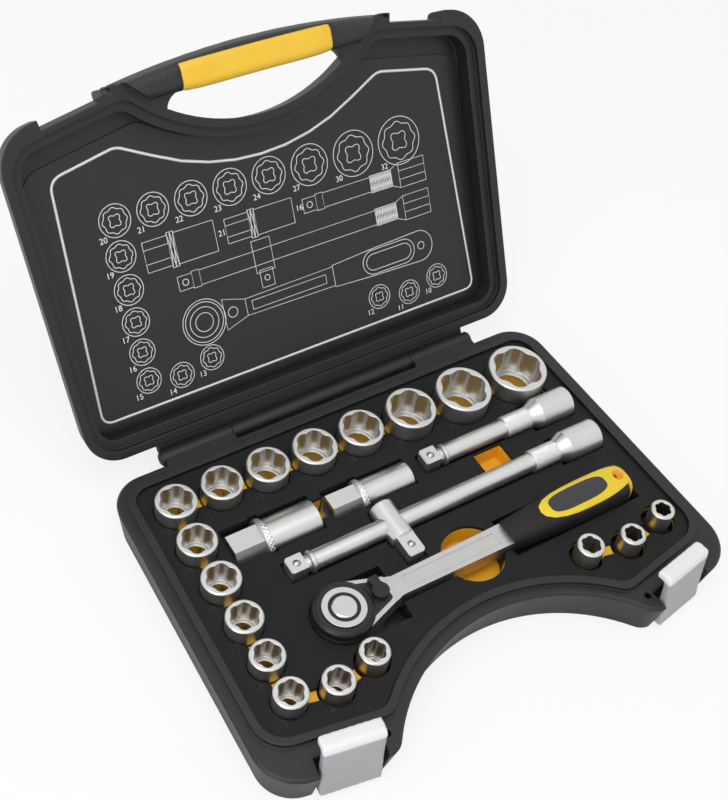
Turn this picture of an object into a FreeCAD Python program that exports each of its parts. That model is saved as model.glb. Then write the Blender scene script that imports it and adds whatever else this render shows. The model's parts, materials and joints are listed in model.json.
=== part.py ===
import FreeCAD
import Part
import math
import os

# Half-inch-drive socket wrench set in a hinged case, drawn with its lid open.
# Millimetres. X runs along the hinge, Y to the back, Z up.
# The origin is the centre of the base's bottom face.

Vec = FreeCAD.Vector
os.makedirs("parts", exist_ok=True)

# Case plan: the opening that the tray fills, and what grows out from it
tray_half_width_back = 159.0
tray_half_width_front = 167.0
tray_back_y = 108.6
tray_front_y = -92.2
latch_x = 129.5
front_splay = 10.0
finger_arc_y = -195.0
tray_arc_radius = 134.5
back_corner_radius = 12.0
front_corner_radius = 17.0
nose_radius = 13.0
lip_width = 5.2
flange_width = 7.2
front_flange_width = 23.0

# Case heights and walls
base_height = 31.0
base_floor = 3.0
base_wall = 3.0
rim_depth = 4.0
flange_edge = 1.6
wall_draft = 4.5
lip_height = 3.2
parting_gap = 0.4
lid_top = 52.2
lid_skin = 2.8
lid_draft = 2.4
lid_round = 5.0
lip_room = 1.2

# Lid hinge
hinge_out = 8.0
hinge_z = 26.5
knuckle_radius = 5.5
knuckle_root = 4.0
knuckle_split_x = 73.2
knuckle_end_x = 125.0
knuckle_gap = 0.6
hinge_pin_radius = 2.0
lid_open_angle = 121.7
running_fit = 0.06
snug_fit = 0.02

# Label plate inside the lid
label_thickness = 1.2
label_side_inset = 1.0
label_front_inset = 14.0

# Carrying handle
handle_front_y = -121.8
handle_depth = 21.0
handle_bow = 8.0
handle_z_low = 23.0
handle_z_high = 46.0
handle_corner = 6.0
handle_half_span = 98.0
handle_base_gap = 1.0
grip_half_length = 55.0
grip_edge = 3.4
grip_thickness = 4.0
finger_gap_half_width = 66.0
finger_gap_corner = 12.0

# Latches: a plate that swings on a pin low in a pocket of the base
latch_width = 40.0
latch_side_gap = 2.0
latch_thickness = 5.5
latch_bottom_z = 5.2
latch_top_z = 52.0
latch_hook_reach = 11.0
latch_hook_height = 6.0
latch_flare = 0.8
latch_edge_round = 3.5
latch_pin_depth = 7.0
latch_pin_z = 9.0
latch_pin_radius = 1.5
latch_pin_grip = 4.0
latch_boss_radius = 4.2
latch_pocket_depth = 13.2
latch_rest_lean = 8.0
lid_front_setback = 11.0
lid_pocket_depth = 17.6
lid_notch_depth = 21.8
catch_drop = 3.0
padlock_x = 102.0
padlock_depth = 14.0
padlock_radius = 2.5

# Tray and liner
tray_top = 32.0
tray_thickness = 3.0
tray_gap = 0.3
liner_gap = 1.0
web_thickness = 2.0
cup_wall = 1.6
cup_floor = 3.3
large_cup_floor = 1.6
pocket_gap = 0.8
seat_gap = 0.2
bridge_width = 8.0
badge_recess_x = -24.0
badge_recess_y = -50.5
badge_recess_length = 50.0
badge_recess_width = 11.0
badge_recess_depth = 0.6

# Finger wells in the liner: (low x, high x, low y, high y, floor z)
bar_well = (63.0, 87.0, 18.5, 34.5, 16.0)
large_socket_well = (123.0, 146.0, 46.0, 62.0, 20.0)
shank_well_x = 17.0
shank_well_radius = 21.5
shank_well_floor = 14.0

# Sockets: wrench size to outside diameter
socket_diameters = {
    10: 16.5, 11: 17.5, 12: 18.8, 13: 19.8, 14: 21.0, 15: 22.0,
    16: 22.6, 17: 24.0, 18: 25.5, 19: 25.8, 20: 27.2, 21: 27.8,
    22: 29.2, 23: 30.8, 24: 31.5, 27: 35.6, 30: 40.0, 32: 42.6,
}
back_row = (20, 21, 22, 23, 24, 27, 30, 32)
left_column = (19, 18, 17, 16, 15)
socket_length = 38.0
large_socket_length = 42.0
large_socket_size = 27
drive_end_least = 22.0
drive_end_most = 30.0
drive_end_height = 14.0
drive_end_taper = 4.0
socket_edge = 0.8
drive_square = 12.7
drive_square_fit = 0.15
drive_square_depth = 16.0
socket_web = 4.0
socket_shoulder = 1.5
through_share = 0.41
shoulder_share = 0.49
back_row_x = -139.1
back_row_y = 97.8
back_row_gap = 5.5
column_edge_x = -154.0
column_gap = 5.8
left_front_pitch = 29.4
right_front_pitch = 31.2
front_dip = 6.2
right_front_x = 115.4
right_front_y = -74.4

# Long tools lie along X, in two lines
upper_line_y = 43.4
lower_line_y = 10.3
bar_axis_z = 34.0
bar_radius = 6.5
bar_end_x = 151.0
bar_neck_radius = 5.2
bar_collar_radius = 7.4
bar_collar_length = 4.0
bar_neck_length = 3.0
bar_square_length = 12.0
bar_square_chamfer = 1.2
bar_knurl_radius = 7.6
bar_knurl_length = 22.0
bar_cone_length = 8.0
bar_head_radius = 11.2
bar_head_length = 27.0
bar_bore_depth = 16.0
short_bar_length = 125.0
long_bar_length = 250.0

# Detent balls and their springs
ball_radius = 2.5
ball_proud = 1.1
ball_fit = 0.08
ball_hole_depth = 9.6
ball_seat = 0.05
spring_wire = 0.5
spring_radius = 1.7
spring_turns = 3.0

# Sliding tee on the long bar
tee_x = -19.5
tee_radius = 8.7
tee_back_y = 25.6
tee_front_y = -3.0
tee_tip_y = -18.7
tee_slide_room = 2.6

# Spark plug sockets: wrench size to (start x, axis z, body radius, hexagon across flats)
spark_plug_sockets = {
    21: (-122.0, 23.6, 13.5, 24.0),
    16: (-48.0, 25.2, 10.8, 20.0),
}
plug_length = 64.0
plug_hex_length = 22.0
plug_collar_length = 5.0
plug_collar_step = 1.6
plug_insert_wall = 1.4
plug_insert_length = 14.0
plug_insert_depth = 8.0
plug_lobe_depth = 38.0
plug_through_share = 0.3
plug_well_low = 7.0
plug_well_high = 8.0
plug_well_drop = 8.0

# Ratchet
ratchet_y = -32.0
head_x = -84.0
head_radius = 20.0
head_bottom_z = 18.0
head_top_z = 39.0
neck_x = -44.0
shank_half_width_head = 7.6
shank_half_width_grip = 8.6
shank_bottom_z = 25.0
shank_top_z = 38.0
shank_panel_depth = 0.8
shank_panel_margin = 3.0
shank_panel_start = 6.0
shank_panel_end = 8.0
head_step = 4.0
lever_land = 2.0
grip_start_x = 43.0
grip_end_x = 147.0
grip_half_width_start = 10.0
grip_half_width_end = 14.2
grip_axis_z = 33.4
grip_half_height_start = 10.2
grip_half_height_end = 12.6
grip_widest_share = 0.72
grip_round_length = 6.0
grip_round_share = 0.94
grip_tip_width_share = 0.62
grip_tip_height_share = 0.7
grip_flat_share = 0.45
grip_corner_share = 0.35
tang_end_x = 132.0
tang_half_width = 5.0
tang_half_height = 4.0
inlay_start_x = 69.0
inlay_thickness = 1.6
inlay_edge_y = 3.4
badge_start_x = 77.0
badge_end_x = 124.0
badge_half_width = 7.4
badge_thickness = 0.8
hang_hole_x = 135.0
hang_hole_radius = 3.2
cover_radius = 18.4
cover_thickness = 2.4
cover_hole_gap = 0.3
gear_tip_radius = 16.2
gear_tooth_depth = 1.2
gear_teeth = 36
gear_bottom_z = 24.0
gear_gap = 0.4
gear_hub_radius = 14.3
gear_hub_top_z = 42.6
gear_journal_radius = 11.0
drive_tip_z = 5.0
button_radius = 8.2
button_gap = 0.5
button_top_z = 43.8
button_height = 3.2
button_recess_z = 33.0
button_travel = 2.5
rod_radius = 2.5
rod_gap = 0.3
rod_end_z = 7.6
rod_waist_radius = 1.4
rod_waist_length = 4.5
rod_waist_rise = 0.5
drive_ball_radius = 2.2
drive_ball_proud = 1.0
drive_ball_z = 10.0
button_spring_radius = 4.4
button_spring_wire = 0.8
button_spring_turns = 3.5
lever_offset = 27.0
lever_radius = 5.6
lever_height = 3.6
lever_lift = 0.3
lever_shaft_radius = 2.5
lever_shaft_bottom_z = 27.0
lever_tab_length = 11.0
lever_tab_half_width = 3.2
pawl_inner_radius = 17.4
pawl_outer_radius = 20.6
pawl_half_angle = 18.0
pawl_bottom_z = 27.0
pawl_top_z = 35.0
pawl_room = 1.0
pawl_spring_radius = 1.5
pawl_spring_gap = 0.45

# What follows from the sizes above
rim_side = lip_width + flange_width
rim_front = lip_width + front_flange_width
hinge_y = tray_back_y + rim_side + hinge_out
latch_front_y = tray_front_y - rim_front / math.cos(math.radians(front_splay))
lid_bottom = base_height + parting_gap
web_top = tray_top - tray_thickness
seat_z = base_floor + cup_floor
label_z = lid_top - lid_skin - label_thickness
above_all = lid_top + 20.0


def box(x0, x1, y0, y1, z0, z1):
    return Part.makeBox(x1 - x0, y1 - y0, z1 - z0, Vec(x0, y0, z0))


def rod(radius, start, end):
    run = end - start
    return Part.makeCylinder(radius, run.Length, start, run)


def upright(radius, x, y, z0, z1):
    return Part.makeCylinder(radius, z1 - z0, Vec(x, y, z0))


def along_x(radius, y, z, x0, x1):
    return rod(radius, Vec(x0, y, z), Vec(x1, y, z))


def join(shapes):
    return shapes[0].multiFuse(shapes[1:]).removeSplitter()


def prism(wire, height):
    return Part.Face(wire).extrude(Vec(0, 0, height))


def revolve_x(profile, y, z):
    """Turn a list of (x, radius) points about the line along X at y and z."""
    points = [Vec(x, y + r, z) for x, r in profile]
    points = [Vec(profile[0][0], y, z)] + points + [Vec(profile[-1][0], y, z)]
    face = Part.Face(Part.makePolygon(points + points[:1]))
    return face.revolve(Vec(0, y, z), Vec(1, 0, 0), 360)


def revolve_z(profile, x, y):
    """Turn a list of (radius, z) points about the upright line at x and y."""
    points = [Vec(x + r, y, z) for r, z in profile]
    points = [Vec(x, y, profile[0][1])] + points + [Vec(x, y, profile[-1][1])]
    face = Part.Face(Part.makePolygon(points + points[:1]))
    return face.revolve(Vec(x, y, 0), Vec(0, 0, 1), 360)


def coil_spring(radius, wire, turns, length):
    """An open coil that stands on z = 0 about the Z axis."""
    run = length - wire
    helix = Part.makeHelix(run / turns, run, radius)
    section = Part.Wire(Part.makeCircle(wire / 2, Vec(radius, 0, 0), Vec(0, 1, 0)))
    spring = Part.Wire(helix.Edges).makePipeShell([section], True, True)
    spring.translate(Vec(0, 0, wire / 2))
    return spring


def unit(vector):
    return vector * (1.0 / vector.Length)


def round_corner(before, corner, after, radius):
    """Start, middle and end of the arc that rounds a corner."""
    to_before = unit(before - corner)
    to_after = unit(after - corner)
    half = math.acos(to_before.dot(to_after)) / 2
    reach = radius / math.tan(half)
    centre = corner + unit(to_before + to_after) * (radius / math.sin(half))
    middle = centre + unit(corner - centre) * radius
    return corner + to_before * reach, middle, corner + to_after * reach


def mirrored(point):
    return Vec(-point.x, point.y, point.z)


def outline(side, front, z):
    """The case's plan outline, grown from the tray opening at its sides and its front."""
    splay = math.radians(front_splay)
    spread = (tray_half_width_front - tray_half_width_back) / (tray_back_y - tray_front_y)
    back_y = tray_back_y + side
    back = Vec(tray_half_width_back + side - spread * side, back_y, z)
    front_line_y = tray_front_y - front / math.cos(splay)
    start_x = tray_half_width_back + side + spread * (tray_back_y - front_line_y + latch_x * math.tan(splay))
    corner_x = start_x / (1 + spread * math.tan(splay))
    corner = Vec(corner_x, front_line_y + (corner_x - latch_x) * math.tan(splay), z)
    middle = Vec(0, front_line_y - latch_x * math.tan(splay), z)
    arc_radius = tray_arc_radius - side
    arc_centre = Vec(0, finger_arc_y, z)

    back_arc = round_corner(mirrored(back), back, corner, back_corner_radius + side)
    front_arc = round_corner(back, corner, middle, front_corner_radius + side)

    run = unit(middle - corner)
    inward = Vec(-math.sin(splay), math.cos(splay), 0)
    from_arc = corner + inward * nose_radius - arc_centre
    reach = arc_radius + nose_radius
    along = from_arc.dot(run)
    distance = -along - math.sqrt(along * along - from_arc.dot(from_arc) + reach * reach)
    nose_centre = corner + inward * nose_radius + run * distance
    nose_start = corner + run * distance
    nose_end = arc_centre + unit(nose_centre - arc_centre) * arc_radius
    nose_way = unit(nose_start - nose_centre) + unit(nose_end - nose_centre)
    nose_middle = nose_centre + unit(nose_way) * nose_radius

    arcs = [back_arc, front_arc, (nose_start, nose_middle, nose_end)]
    left_arcs = [tuple(mirrored(p) for p in reversed(arc)) for arc in reversed(arcs)]
    finger_arc = (nose_end, arc_centre + Vec(0, arc_radius, 0), mirrored(nose_end))
    edges = []
    last = mirrored(back_arc[0])
    for arc in arcs + [finger_arc] + left_arcs:
        if (arc[0] - last).Length > 1e-6:
            edges.append(Part.makeLine(last, arc[0]))
        edges.append(Part.Arc(*arc).toShape())
        last = arc[2]
    return Part.Wire(edges)


def at_latch(shape, hand):
    """Move a shape drawn at the latch's own place, facing -Y, to one side of the case."""
    placed = shape.copy()
    placed.rotate(Vec(0, 0, 0), Vec(0, 0, 1), hand * front_splay)
    placed.translate(Vec(hand * latch_x, latch_front_y, 0))
    return placed


def padlock_hole(hand):
    splay = math.radians(front_splay)
    y = latch_front_y + (padlock_x - latch_x) * math.tan(splay) + padlock_depth
    return upright(padlock_radius, hand * padlock_x, y, -1, above_all)


def hinge_knuckle(x0, x1, root_z0, root_z1):
    """A round knuckle and the flat root that joins it to the case's back wall."""
    root_y = tray_back_y + rim_side - knuckle_root
    root = box(x0, x1, root_y, hinge_y, root_z0, root_z1)
    return join([along_x(knuckle_radius, hinge_y, hinge_z, x0, x1), root])


# Base

def base_shell():
    floor_side = rim_side - wall_draft
    floor_front = rim_front - wall_draft
    outer = Part.makeLoft([
        outline(floor_side, floor_front, 0),
        outline(rim_side, rim_front, base_height - flange_edge),
        outline(rim_side - flange_edge, rim_front - flange_edge, base_height),
    ], True, True)
    lip = prism(outline(lip_width, lip_width, base_height - 1), lip_height + 1)
    inside = prism(outline(floor_side - base_wall, 0, base_floor), base_height - rim_depth - base_floor)
    mouth = prism(outline(0, 0, base_floor), above_all)
    shell = join([outer, lip]).cut(join([inside, mouth]))

    knuckles = []
    for hand in (-1, 1):
        x0, x1 = sorted((hand * (knuckle_split_x + knuckle_gap), hand * knuckle_end_x))
        knuckles.append(hinge_knuckle(x0, x1, hinge_z - knuckle_radius, base_height))
    shell = join([shell] + knuckles)
    shell = shell.cut(along_x(hinge_pin_radius + snug_fit, hinge_y, hinge_z, -knuckle_end_x, knuckle_end_x))

    half = latch_width / 2 + latch_side_gap
    pocket = box(-half, half, -rim_front, latch_pocket_depth, -1, above_all)
    pin_room = along_x(latch_pin_radius + snug_fit, latch_pin_depth, latch_pin_z,
                       -half - latch_pin_grip, half + latch_pin_grip)
    for hand in (-1, 1):
        shell = shell.cut(at_latch(pocket, hand))
        shell = shell.cut(at_latch(pin_room, hand))
        shell = shell.cut(padlock_hole(hand))
    return shell.removeSplitter()


def hinge_pin():
    return along_x(hinge_pin_radius, hinge_y, hinge_z, -knuckle_end_x, knuckle_end_x)


def latch_pins():
    half = latch_width / 2 + latch_side_gap + latch_pin_grip
    pin = along_x(latch_pin_radius, latch_pin_depth, latch_pin_z, -half, half)
    return Part.makeCompound([at_latch(pin, -1), at_latch(pin, 1)])


def latch(hand):
    half = latch_width / 2
    hook_z = latch_top_z - latch_hook_height
    bow = latch_edge_round * (1 - math.sqrt(0.5))
    points = [
        Vec(-half, latch_edge_round, latch_top_z),
        Vec(-half, latch_hook_reach, latch_top_z),
        Vec(-half, latch_hook_reach, hook_z),
        Vec(-half, latch_thickness, hook_z),
        Vec(-half, latch_thickness, latch_bottom_z),
        Vec(-half, -latch_flare, latch_bottom_z),
        Vec(-half, 0, latch_pin_z + latch_boss_radius),
        Vec(-half, 0, latch_top_z - latch_edge_round),
    ]
    edges = [Part.makeLine(a, b) for a, b in zip(points, points[1:])]
    edges.append(Part.Arc(points[-1], Vec(-half, bow, latch_top_z - bow), points[0]).toShape())
    plate = Part.Face(Part.Wire(edges)).extrude(Vec(latch_width, 0, 0))
    boss = along_x(latch_boss_radius, latch_pin_depth, latch_pin_z, -half, half)
    bore = along_x(latch_pin_radius + running_fit, latch_pin_depth, latch_pin_z, -half, half)
    whole = join([plate, boss]).cut(bore)
    whole.rotate(Vec(0, latch_pin_depth, latch_pin_z), Vec(1, 0, 0), -latch_rest_lean)
    return at_latch(whole, hand)


# Lid, drawn closed and then swung open

def opened(shape):
    turned = shape.copy()
    turned.rotate(Vec(0, hinge_y, hinge_z), Vec(1, 0, 0), -lid_open_angle)
    return turned


def handle_bar():
    """The whole handle: bowed along its front, straight behind, with rounded long edges."""
    corner_y = handle_front_y + handle_bow
    back_y = handle_front_y + handle_depth
    points = [
        Vec(handle_half_span, corner_y, handle_z_low),
        Vec(handle_half_span, back_y, handle_z_low),
        Vec(-handle_half_span, back_y, handle_z_low),
        Vec(-handle_half_span, corner_y, handle_z_low),
    ]
    edges = [Part.makeLine(a, b) for a, b in zip(points, points[1:])]
    edges.append(Part.Arc(points[-1], Vec(0, handle_front_y, handle_z_low), points[0]).toShape())
    bar = prism(Part.Wire(edges), handle_z_high - handle_z_low)
    long_edges = [e for e in bar.Edges if e.BoundBox.XLength > handle_half_span]
    return bar.makeFillet(handle_corner, long_edges)


def handle_sleeve():
    """The part of the handle that the grip takes: its face, its inner side and its back."""
    y0 = handle_front_y + grip_edge
    y1 = handle_front_y + handle_depth
    around = box(-grip_half_length, grip_half_length, y0, y1 + 1, handle_z_low - 1, handle_z_high + 1)
    core = box(-grip_half_length - 1, grip_half_length + 1, y0 - 1, y1 - grip_thickness,
               handle_z_low + grip_thickness, handle_z_high - grip_thickness)
    return around.cut(core)


def handle_core():
    room = prism(outline(rim_side + handle_base_gap, rim_front + handle_base_gap, handle_z_low - 1),
                 lid_bottom - handle_z_low + 1)
    return handle_bar().cut(handle_sleeve()).cut(room)


def handle_gussets():
    """The corners between the handle and the finger arc."""
    back_y = handle_front_y + handle_depth
    whole = box(-handle_half_span, handle_half_span, back_y - handle_corner, back_y + finger_gap_corner,
                lid_bottom, handle_z_high - handle_corner)
    gap = box(-finger_gap_half_width, finger_gap_half_width, back_y, back_y + 4 * finger_gap_corner,
              lid_bottom - 1, above_all)
    corners = [e for e in gap.Edges if e.BoundBox.ZLength > 1 and e.CenterOfMass.y < back_y + 1]
    gap = gap.makeFillet(finger_gap_corner, corners)
    under_grip = box(-finger_gap_half_width, finger_gap_half_width, back_y - handle_depth, back_y,
                     lid_bottom - 1, above_all)
    return whole.cut(gap).cut(under_grip)


def lid_shell():
    lid_front = rim_front - lid_front_setback
    sections = []
    for inset, drop in ((0, lid_top - lid_bottom), (lid_draft, lid_round),
                        (lid_draft + lid_round * 0.3, lid_round * 0.3), (lid_draft + lid_round, 0)):
        sections.append(outline(rim_side - inset, lid_front - inset, lid_top - drop))
    outer = Part.makeLoft(sections, True, True)
    channel_width = lip_width + lip_room
    channel = prism(outline(channel_width, channel_width, lid_bottom - 1), lip_height + lip_room + 1)
    inside = prism(outline(0, 0, lid_bottom - 1), lid_top - lid_skin - lid_bottom + 1)
    shell = join([outer, handle_core(), handle_gussets()]).cut(join([channel, inside]))

    half = latch_width / 2 + latch_side_gap
    catch_z = latch_top_z - latch_hook_height - catch_drop
    pocket = box(-half, half, -rim_front, lid_pocket_depth, lid_bottom - 1, above_all)
    notch = box(-half, half, -rim_front, lid_notch_depth, catch_z, above_all)
    for hand in (-1, 1):
        shell = shell.cut(at_latch(join([pocket, notch]), hand))
        shell = shell.cut(padlock_hole(hand))

    knuckle = hinge_knuckle(-knuckle_split_x, knuckle_split_x, lid_bottom, hinge_z + knuckle_radius)
    shell = join([shell, knuckle])
    shell = shell.cut(along_x(hinge_pin_radius + running_fit, hinge_y, hinge_z,
                              -knuckle_split_x, knuckle_split_x))
    return opened(shell.removeSplitter())


def lid_label_plate():
    plate = prism(outline(-label_side_inset, -label_front_inset, label_z), label_thickness)
    return opened(plate)


def handle_grip():
    return opened(handle_bar().common(handle_sleeve()))


# Sockets

def socket_places():
    """Wrench size to the (x, y) that each socket stands at."""
    radius = {size: d / 2 for size, d in socket_diameters.items()}
    places = {}
    x = back_row_x - radius[back_row[0]] - back_row_gap
    for size in back_row:
        x += back_row_gap + radius[size]
        places[size] = (x, back_row_y - radius[size])
        x += radius[size]
    y = places[back_row[0]][1] - radius[back_row[0]]
    for size in left_column:
        y -= column_gap + radius[size]
        places[size] = (column_edge_x + radius[size], y)
        y -= radius[size]
    x, y = places[left_column[-1]]
    places[14] = (x + left_front_pitch, y - front_dip)
    places[13] = (x + 2 * left_front_pitch, y)
    places[12] = (right_front_x - right_front_pitch, right_front_y + front_dip)
    places[11] = (right_front_x, right_front_y)
    places[10] = (right_front_x + right_front_pitch, right_front_y + front_dip)
    return places


socket_chains = (
    (32, 30, 27, 24, 23, 22, 21, 20, 19, 18, 17, 16, 15, 14, 13),
    (12, 11, 10),
)


def length_of(size):
    return large_socket_length if size >= large_socket_size else socket_length


def seat_of(size):
    return base_floor + large_cup_floor if size >= large_socket_size else seat_z


def drive_end_radius(size):
    return min(max(socket_diameters[size], drive_end_least), drive_end_most) / 2


def pocket_radius(size):
    return max(socket_diameters[size] / 2, drive_end_radius(size)) + pocket_gap


def lobed_wire(size):
    """Six round lobes with a shallow hump between them, across flats equal to the wrench size."""
    hump = size * 0.5
    turn = size * 0.527
    peak = size * 0.572
    edges = []

    def at(radius, degrees):
        return Vec(radius * math.cos(math.radians(degrees)), radius * math.sin(math.radians(degrees)), 0)

    for i in range(6):
        flat = 60.0 * i + 30.0
        edges.append(Part.Arc(at(turn, flat - 11), at(hump, flat), at(turn, flat + 11)).toShape())
        edges.append(Part.Arc(at(turn, flat + 11), at(peak, flat + 30), at(turn, flat + 49)).toShape())
    return Part.Wire(edges)


def square_hole(depth):
    half = drive_square / 2 + drive_square_fit
    return box(-half, half, -half, half, -1, depth)


def socket_at_origin(size, length, outer_radius, end_radius, lobe_depth):
    profile = [
        (end_radius - socket_edge, 0),
        (end_radius, socket_edge),
        (end_radius, drive_end_height),
        (outer_radius, drive_end_height + drive_end_taper),
        (outer_radius, length - socket_edge),
        (outer_radius - socket_edge, length),
    ]
    blank = revolve_z(profile, 0, 0)
    lobes = prism(lobed_wire(size), lobe_depth + 1)
    lobes.translate(Vec(0, 0, length - lobe_depth))
    through = upright(size * through_share, 0, 0, -1, length)
    shoulder = upright(size * shoulder_share, 0, 0, length - lobe_depth - socket_shoulder, length)
    return blank.cut(join([lobes, through, shoulder])).cut(square_hole(drive_square_depth))


def socket(size, place):
    length = length_of(size)
    lobe_depth = length - drive_square_depth - socket_web
    shape = socket_at_origin(size, length, socket_diameters[size] / 2, drive_end_radius(size), lobe_depth)
    shape.translate(Vec(place[0], place[1], seat_of(size) + seat_gap))
    return shape


def spark_plug_socket(size):
    start_x, axis_z, radius, hexagon = spark_plug_sockets[size]
    collar_x = start_x + plug_hex_length
    body = revolve_x([
        (collar_x, radius + plug_collar_step - socket_edge),
        (collar_x + socket_edge, radius + plug_collar_step),
        (collar_x + plug_collar_length - socket_edge, radius + plug_collar_step),
        (collar_x + plug_collar_length, radius),
        (start_x + plug_length - socket_edge, radius),
        (start_x + plug_length, radius - socket_edge),
    ], upper_line_y, axis_z)
    corner = hexagon / math.sqrt(3)
    points = []
    for i in range(7):
        angle = math.radians(60.0 * i)
        points.append(Vec(start_x, upper_line_y + corner * math.cos(angle), axis_z + corner * math.sin(angle)))
    hexagon_end = Part.Face(Part.makePolygon(points)).extrude(Vec(plug_hex_length + 1, 0, 0))
    lobes = prism(lobed_wire(size), plug_lobe_depth + 1)
    lobes.rotate(Vec(0, 0, 0), Vec(0, 1, 0), 90)
    lobes.translate(Vec(start_x + plug_length - plug_lobe_depth, upper_line_y, axis_z))
    seat = along_x(size / 2, upper_line_y, axis_z, start_x + plug_length - plug_lobe_depth - plug_insert_depth,
                   start_x + plug_length - plug_lobe_depth + plug_insert_length)
    through = along_x(size * plug_through_share, upper_line_y, axis_z, start_x, start_x + plug_length)
    half = drive_square / 2 + drive_square_fit
    square = box(start_x - 1, start_x + drive_square_depth, upper_line_y - half, upper_line_y + half,
                 axis_z - half, axis_z + half)
    return join([body, hexagon_end]).cut(join([lobes, seat, through])).cut(square)


def spark_plug_insert(size):
    start_x, axis_z, radius, hexagon = spark_plug_sockets[size]
    x0 = start_x + plug_length - plug_lobe_depth - plug_insert_depth
    x1 = x0 + plug_insert_length
    sleeve = along_x(size / 2, upper_line_y, axis_z, x0, x1)
    return sleeve.cut(along_x(size / 2 - plug_insert_wall, upper_line_y, axis_z, x0 - 1, x1 + 1))


# Extension bars and tee

def square_bar_x(x0, x1, y, z):
    half = drive_square / 2 - drive_square_fit
    bar = box(x0, x1, y - half, y + half, z - half, z + half)
    tip = [e for e in bar.Edges if abs(e.CenterOfMass.x - x0) < 1e-6]
    return bar.makeChamfer(bar_square_chamfer, tip)


def square_face_z(axis_z):
    return axis_z + drive_square / 2 - drive_square_fit


def ball_centre_z(axis_z):
    return square_face_z(axis_z) + ball_proud - ball_radius


def ball_hole(x, y, axis_z):
    top = square_face_z(axis_z)
    return upright(ball_radius + ball_fit, x, y, top - ball_hole_depth, top + 1)


def detent_ball(x, y, axis_z):
    return Part.makeSphere(ball_radius, Vec(x, y, ball_centre_z(axis_z)))


def ball_spring(x, y, axis_z):
    bottom = square_face_z(axis_z) - ball_hole_depth
    top = ball_centre_z(axis_z) - math.sqrt(ball_radius ** 2 - spring_radius ** 2) - ball_seat
    spring = coil_spring(spring_radius, spring_wire, spring_turns, top - bottom - ball_seat)
    spring.translate(Vec(x, y, bottom + ball_seat))
    return spring


def bar_ball_x(length):
    return bar_end_x - length + bar_square_length / 2


def extension_bar(length, y):
    x0 = bar_end_x - length
    neck_x0 = x0 + bar_square_length
    collar_x0 = neck_x0 + bar_neck_length
    knurl_x0 = bar_end_x - bar_head_length - bar_cone_length - bar_knurl_length
    cone_x0 = bar_end_x - bar_head_length - bar_cone_length
    head_x0 = bar_end_x - bar_head_length
    turned = revolve_x([
        (neck_x0 - 1, bar_neck_radius),
        (collar_x0, bar_neck_radius),
        (collar_x0 + 1, bar_collar_radius),
        (collar_x0 + bar_collar_length - 1, bar_collar_radius),
        (collar_x0 + bar_collar_length, bar_radius),
        (knurl_x0, bar_radius),
        (knurl_x0 + 0.6, bar_knurl_radius),
        (cone_x0, bar_knurl_radius),
        (head_x0, bar_head_radius),
        (bar_end_x - socket_edge, bar_head_radius),
        (bar_end_x, bar_head_radius - socket_edge),
    ], y, bar_axis_z)
    bar = join([turned, square_bar_x(x0, neck_x0, y, bar_axis_z)])
    half = drive_square / 2 + drive_square_fit
    bore = box(bar_end_x - bar_bore_depth, bar_end_x + 1, y - half, y + half,
               bar_axis_z - half, bar_axis_z + half)
    return bar.cut(bore).cut(ball_hole(bar_ball_x(length), y, bar_axis_z))


def tee_ball_y():
    return (tee_front_y + tee_tip_y) / 2


def tee_slider():
    half = drive_square / 2 - drive_square_fit
    body = rod(tee_radius, Vec(tee_x, tee_front_y, bar_axis_z), Vec(tee_x, tee_back_y, bar_axis_z))
    ends = [e for e in body.Edges if isinstance(e.Curve, Part.Circle)]
    body = body.makeChamfer(socket_edge, ends)
    square = box(tee_x - half, tee_x + half, tee_tip_y, tee_front_y + 1, bar_axis_z - half, bar_axis_z + half)
    tip = [e for e in square.Edges if abs(e.CenterOfMass.y - tee_tip_y) < 1e-6]
    square = square.makeChamfer(bar_square_chamfer, tip)
    bore = along_x(bar_radius + running_fit, lower_line_y, bar_axis_z, tee_x - 2 * tee_radius, tee_x + 2 * tee_radius)
    return join([body, square]).cut(bore).cut(ball_hole(tee_x, tee_ball_y(), bar_axis_z))


# Ratchet

def ratchet_plan(z, height):
    """Pear-shaped head, neck and shank, seen from above."""
    reach = neck_x - head_x
    lean = math.asin((head_radius - shank_half_width_head) / reach)
    touch_x = head_x + head_radius * math.sin(lean)
    touch_y = head_radius * math.cos(lean)
    points = [
        Vec(touch_x, ratchet_y + touch_y, z),
        Vec(neck_x, ratchet_y + shank_half_width_head, z),
        Vec(grip_start_x, ratchet_y + shank_half_width_grip, z),
        Vec(grip_start_x, ratchet_y - shank_half_width_grip, z),
        Vec(neck_x, ratchet_y - shank_half_width_head, z),
        Vec(touch_x, ratchet_y - touch_y, z),
    ]
    edges = [Part.makeLine(a, b) for a, b in zip(points, points[1:])]
    edges.append(Part.Arc(points[-1], Vec(head_x - head_radius, ratchet_y, z), points[0]).toShape())
    return prism(Part.Wire(edges), height)


def pawl_cavity():
    y0 = ratchet_y - pawl_outer_radius * math.sin(math.radians(pawl_half_angle)) - pawl_room
    y1 = 2 * ratchet_y - y0
    x1 = head_x + lever_offset + lever_shaft_radius + pawl_room
    return box(head_x + gear_journal_radius, x1, y0, y1, pawl_bottom_z - pawl_room / 2, pawl_top_z + pawl_room / 2)


def tang():
    """The tongue behind the shank that the grip is moulded on."""
    return box(grip_start_x - 1, tang_end_x, ratchet_y - tang_half_width, ratchet_y + tang_half_width,
               grip_axis_z - tang_half_height, grip_axis_z + tang_half_height)


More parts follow.
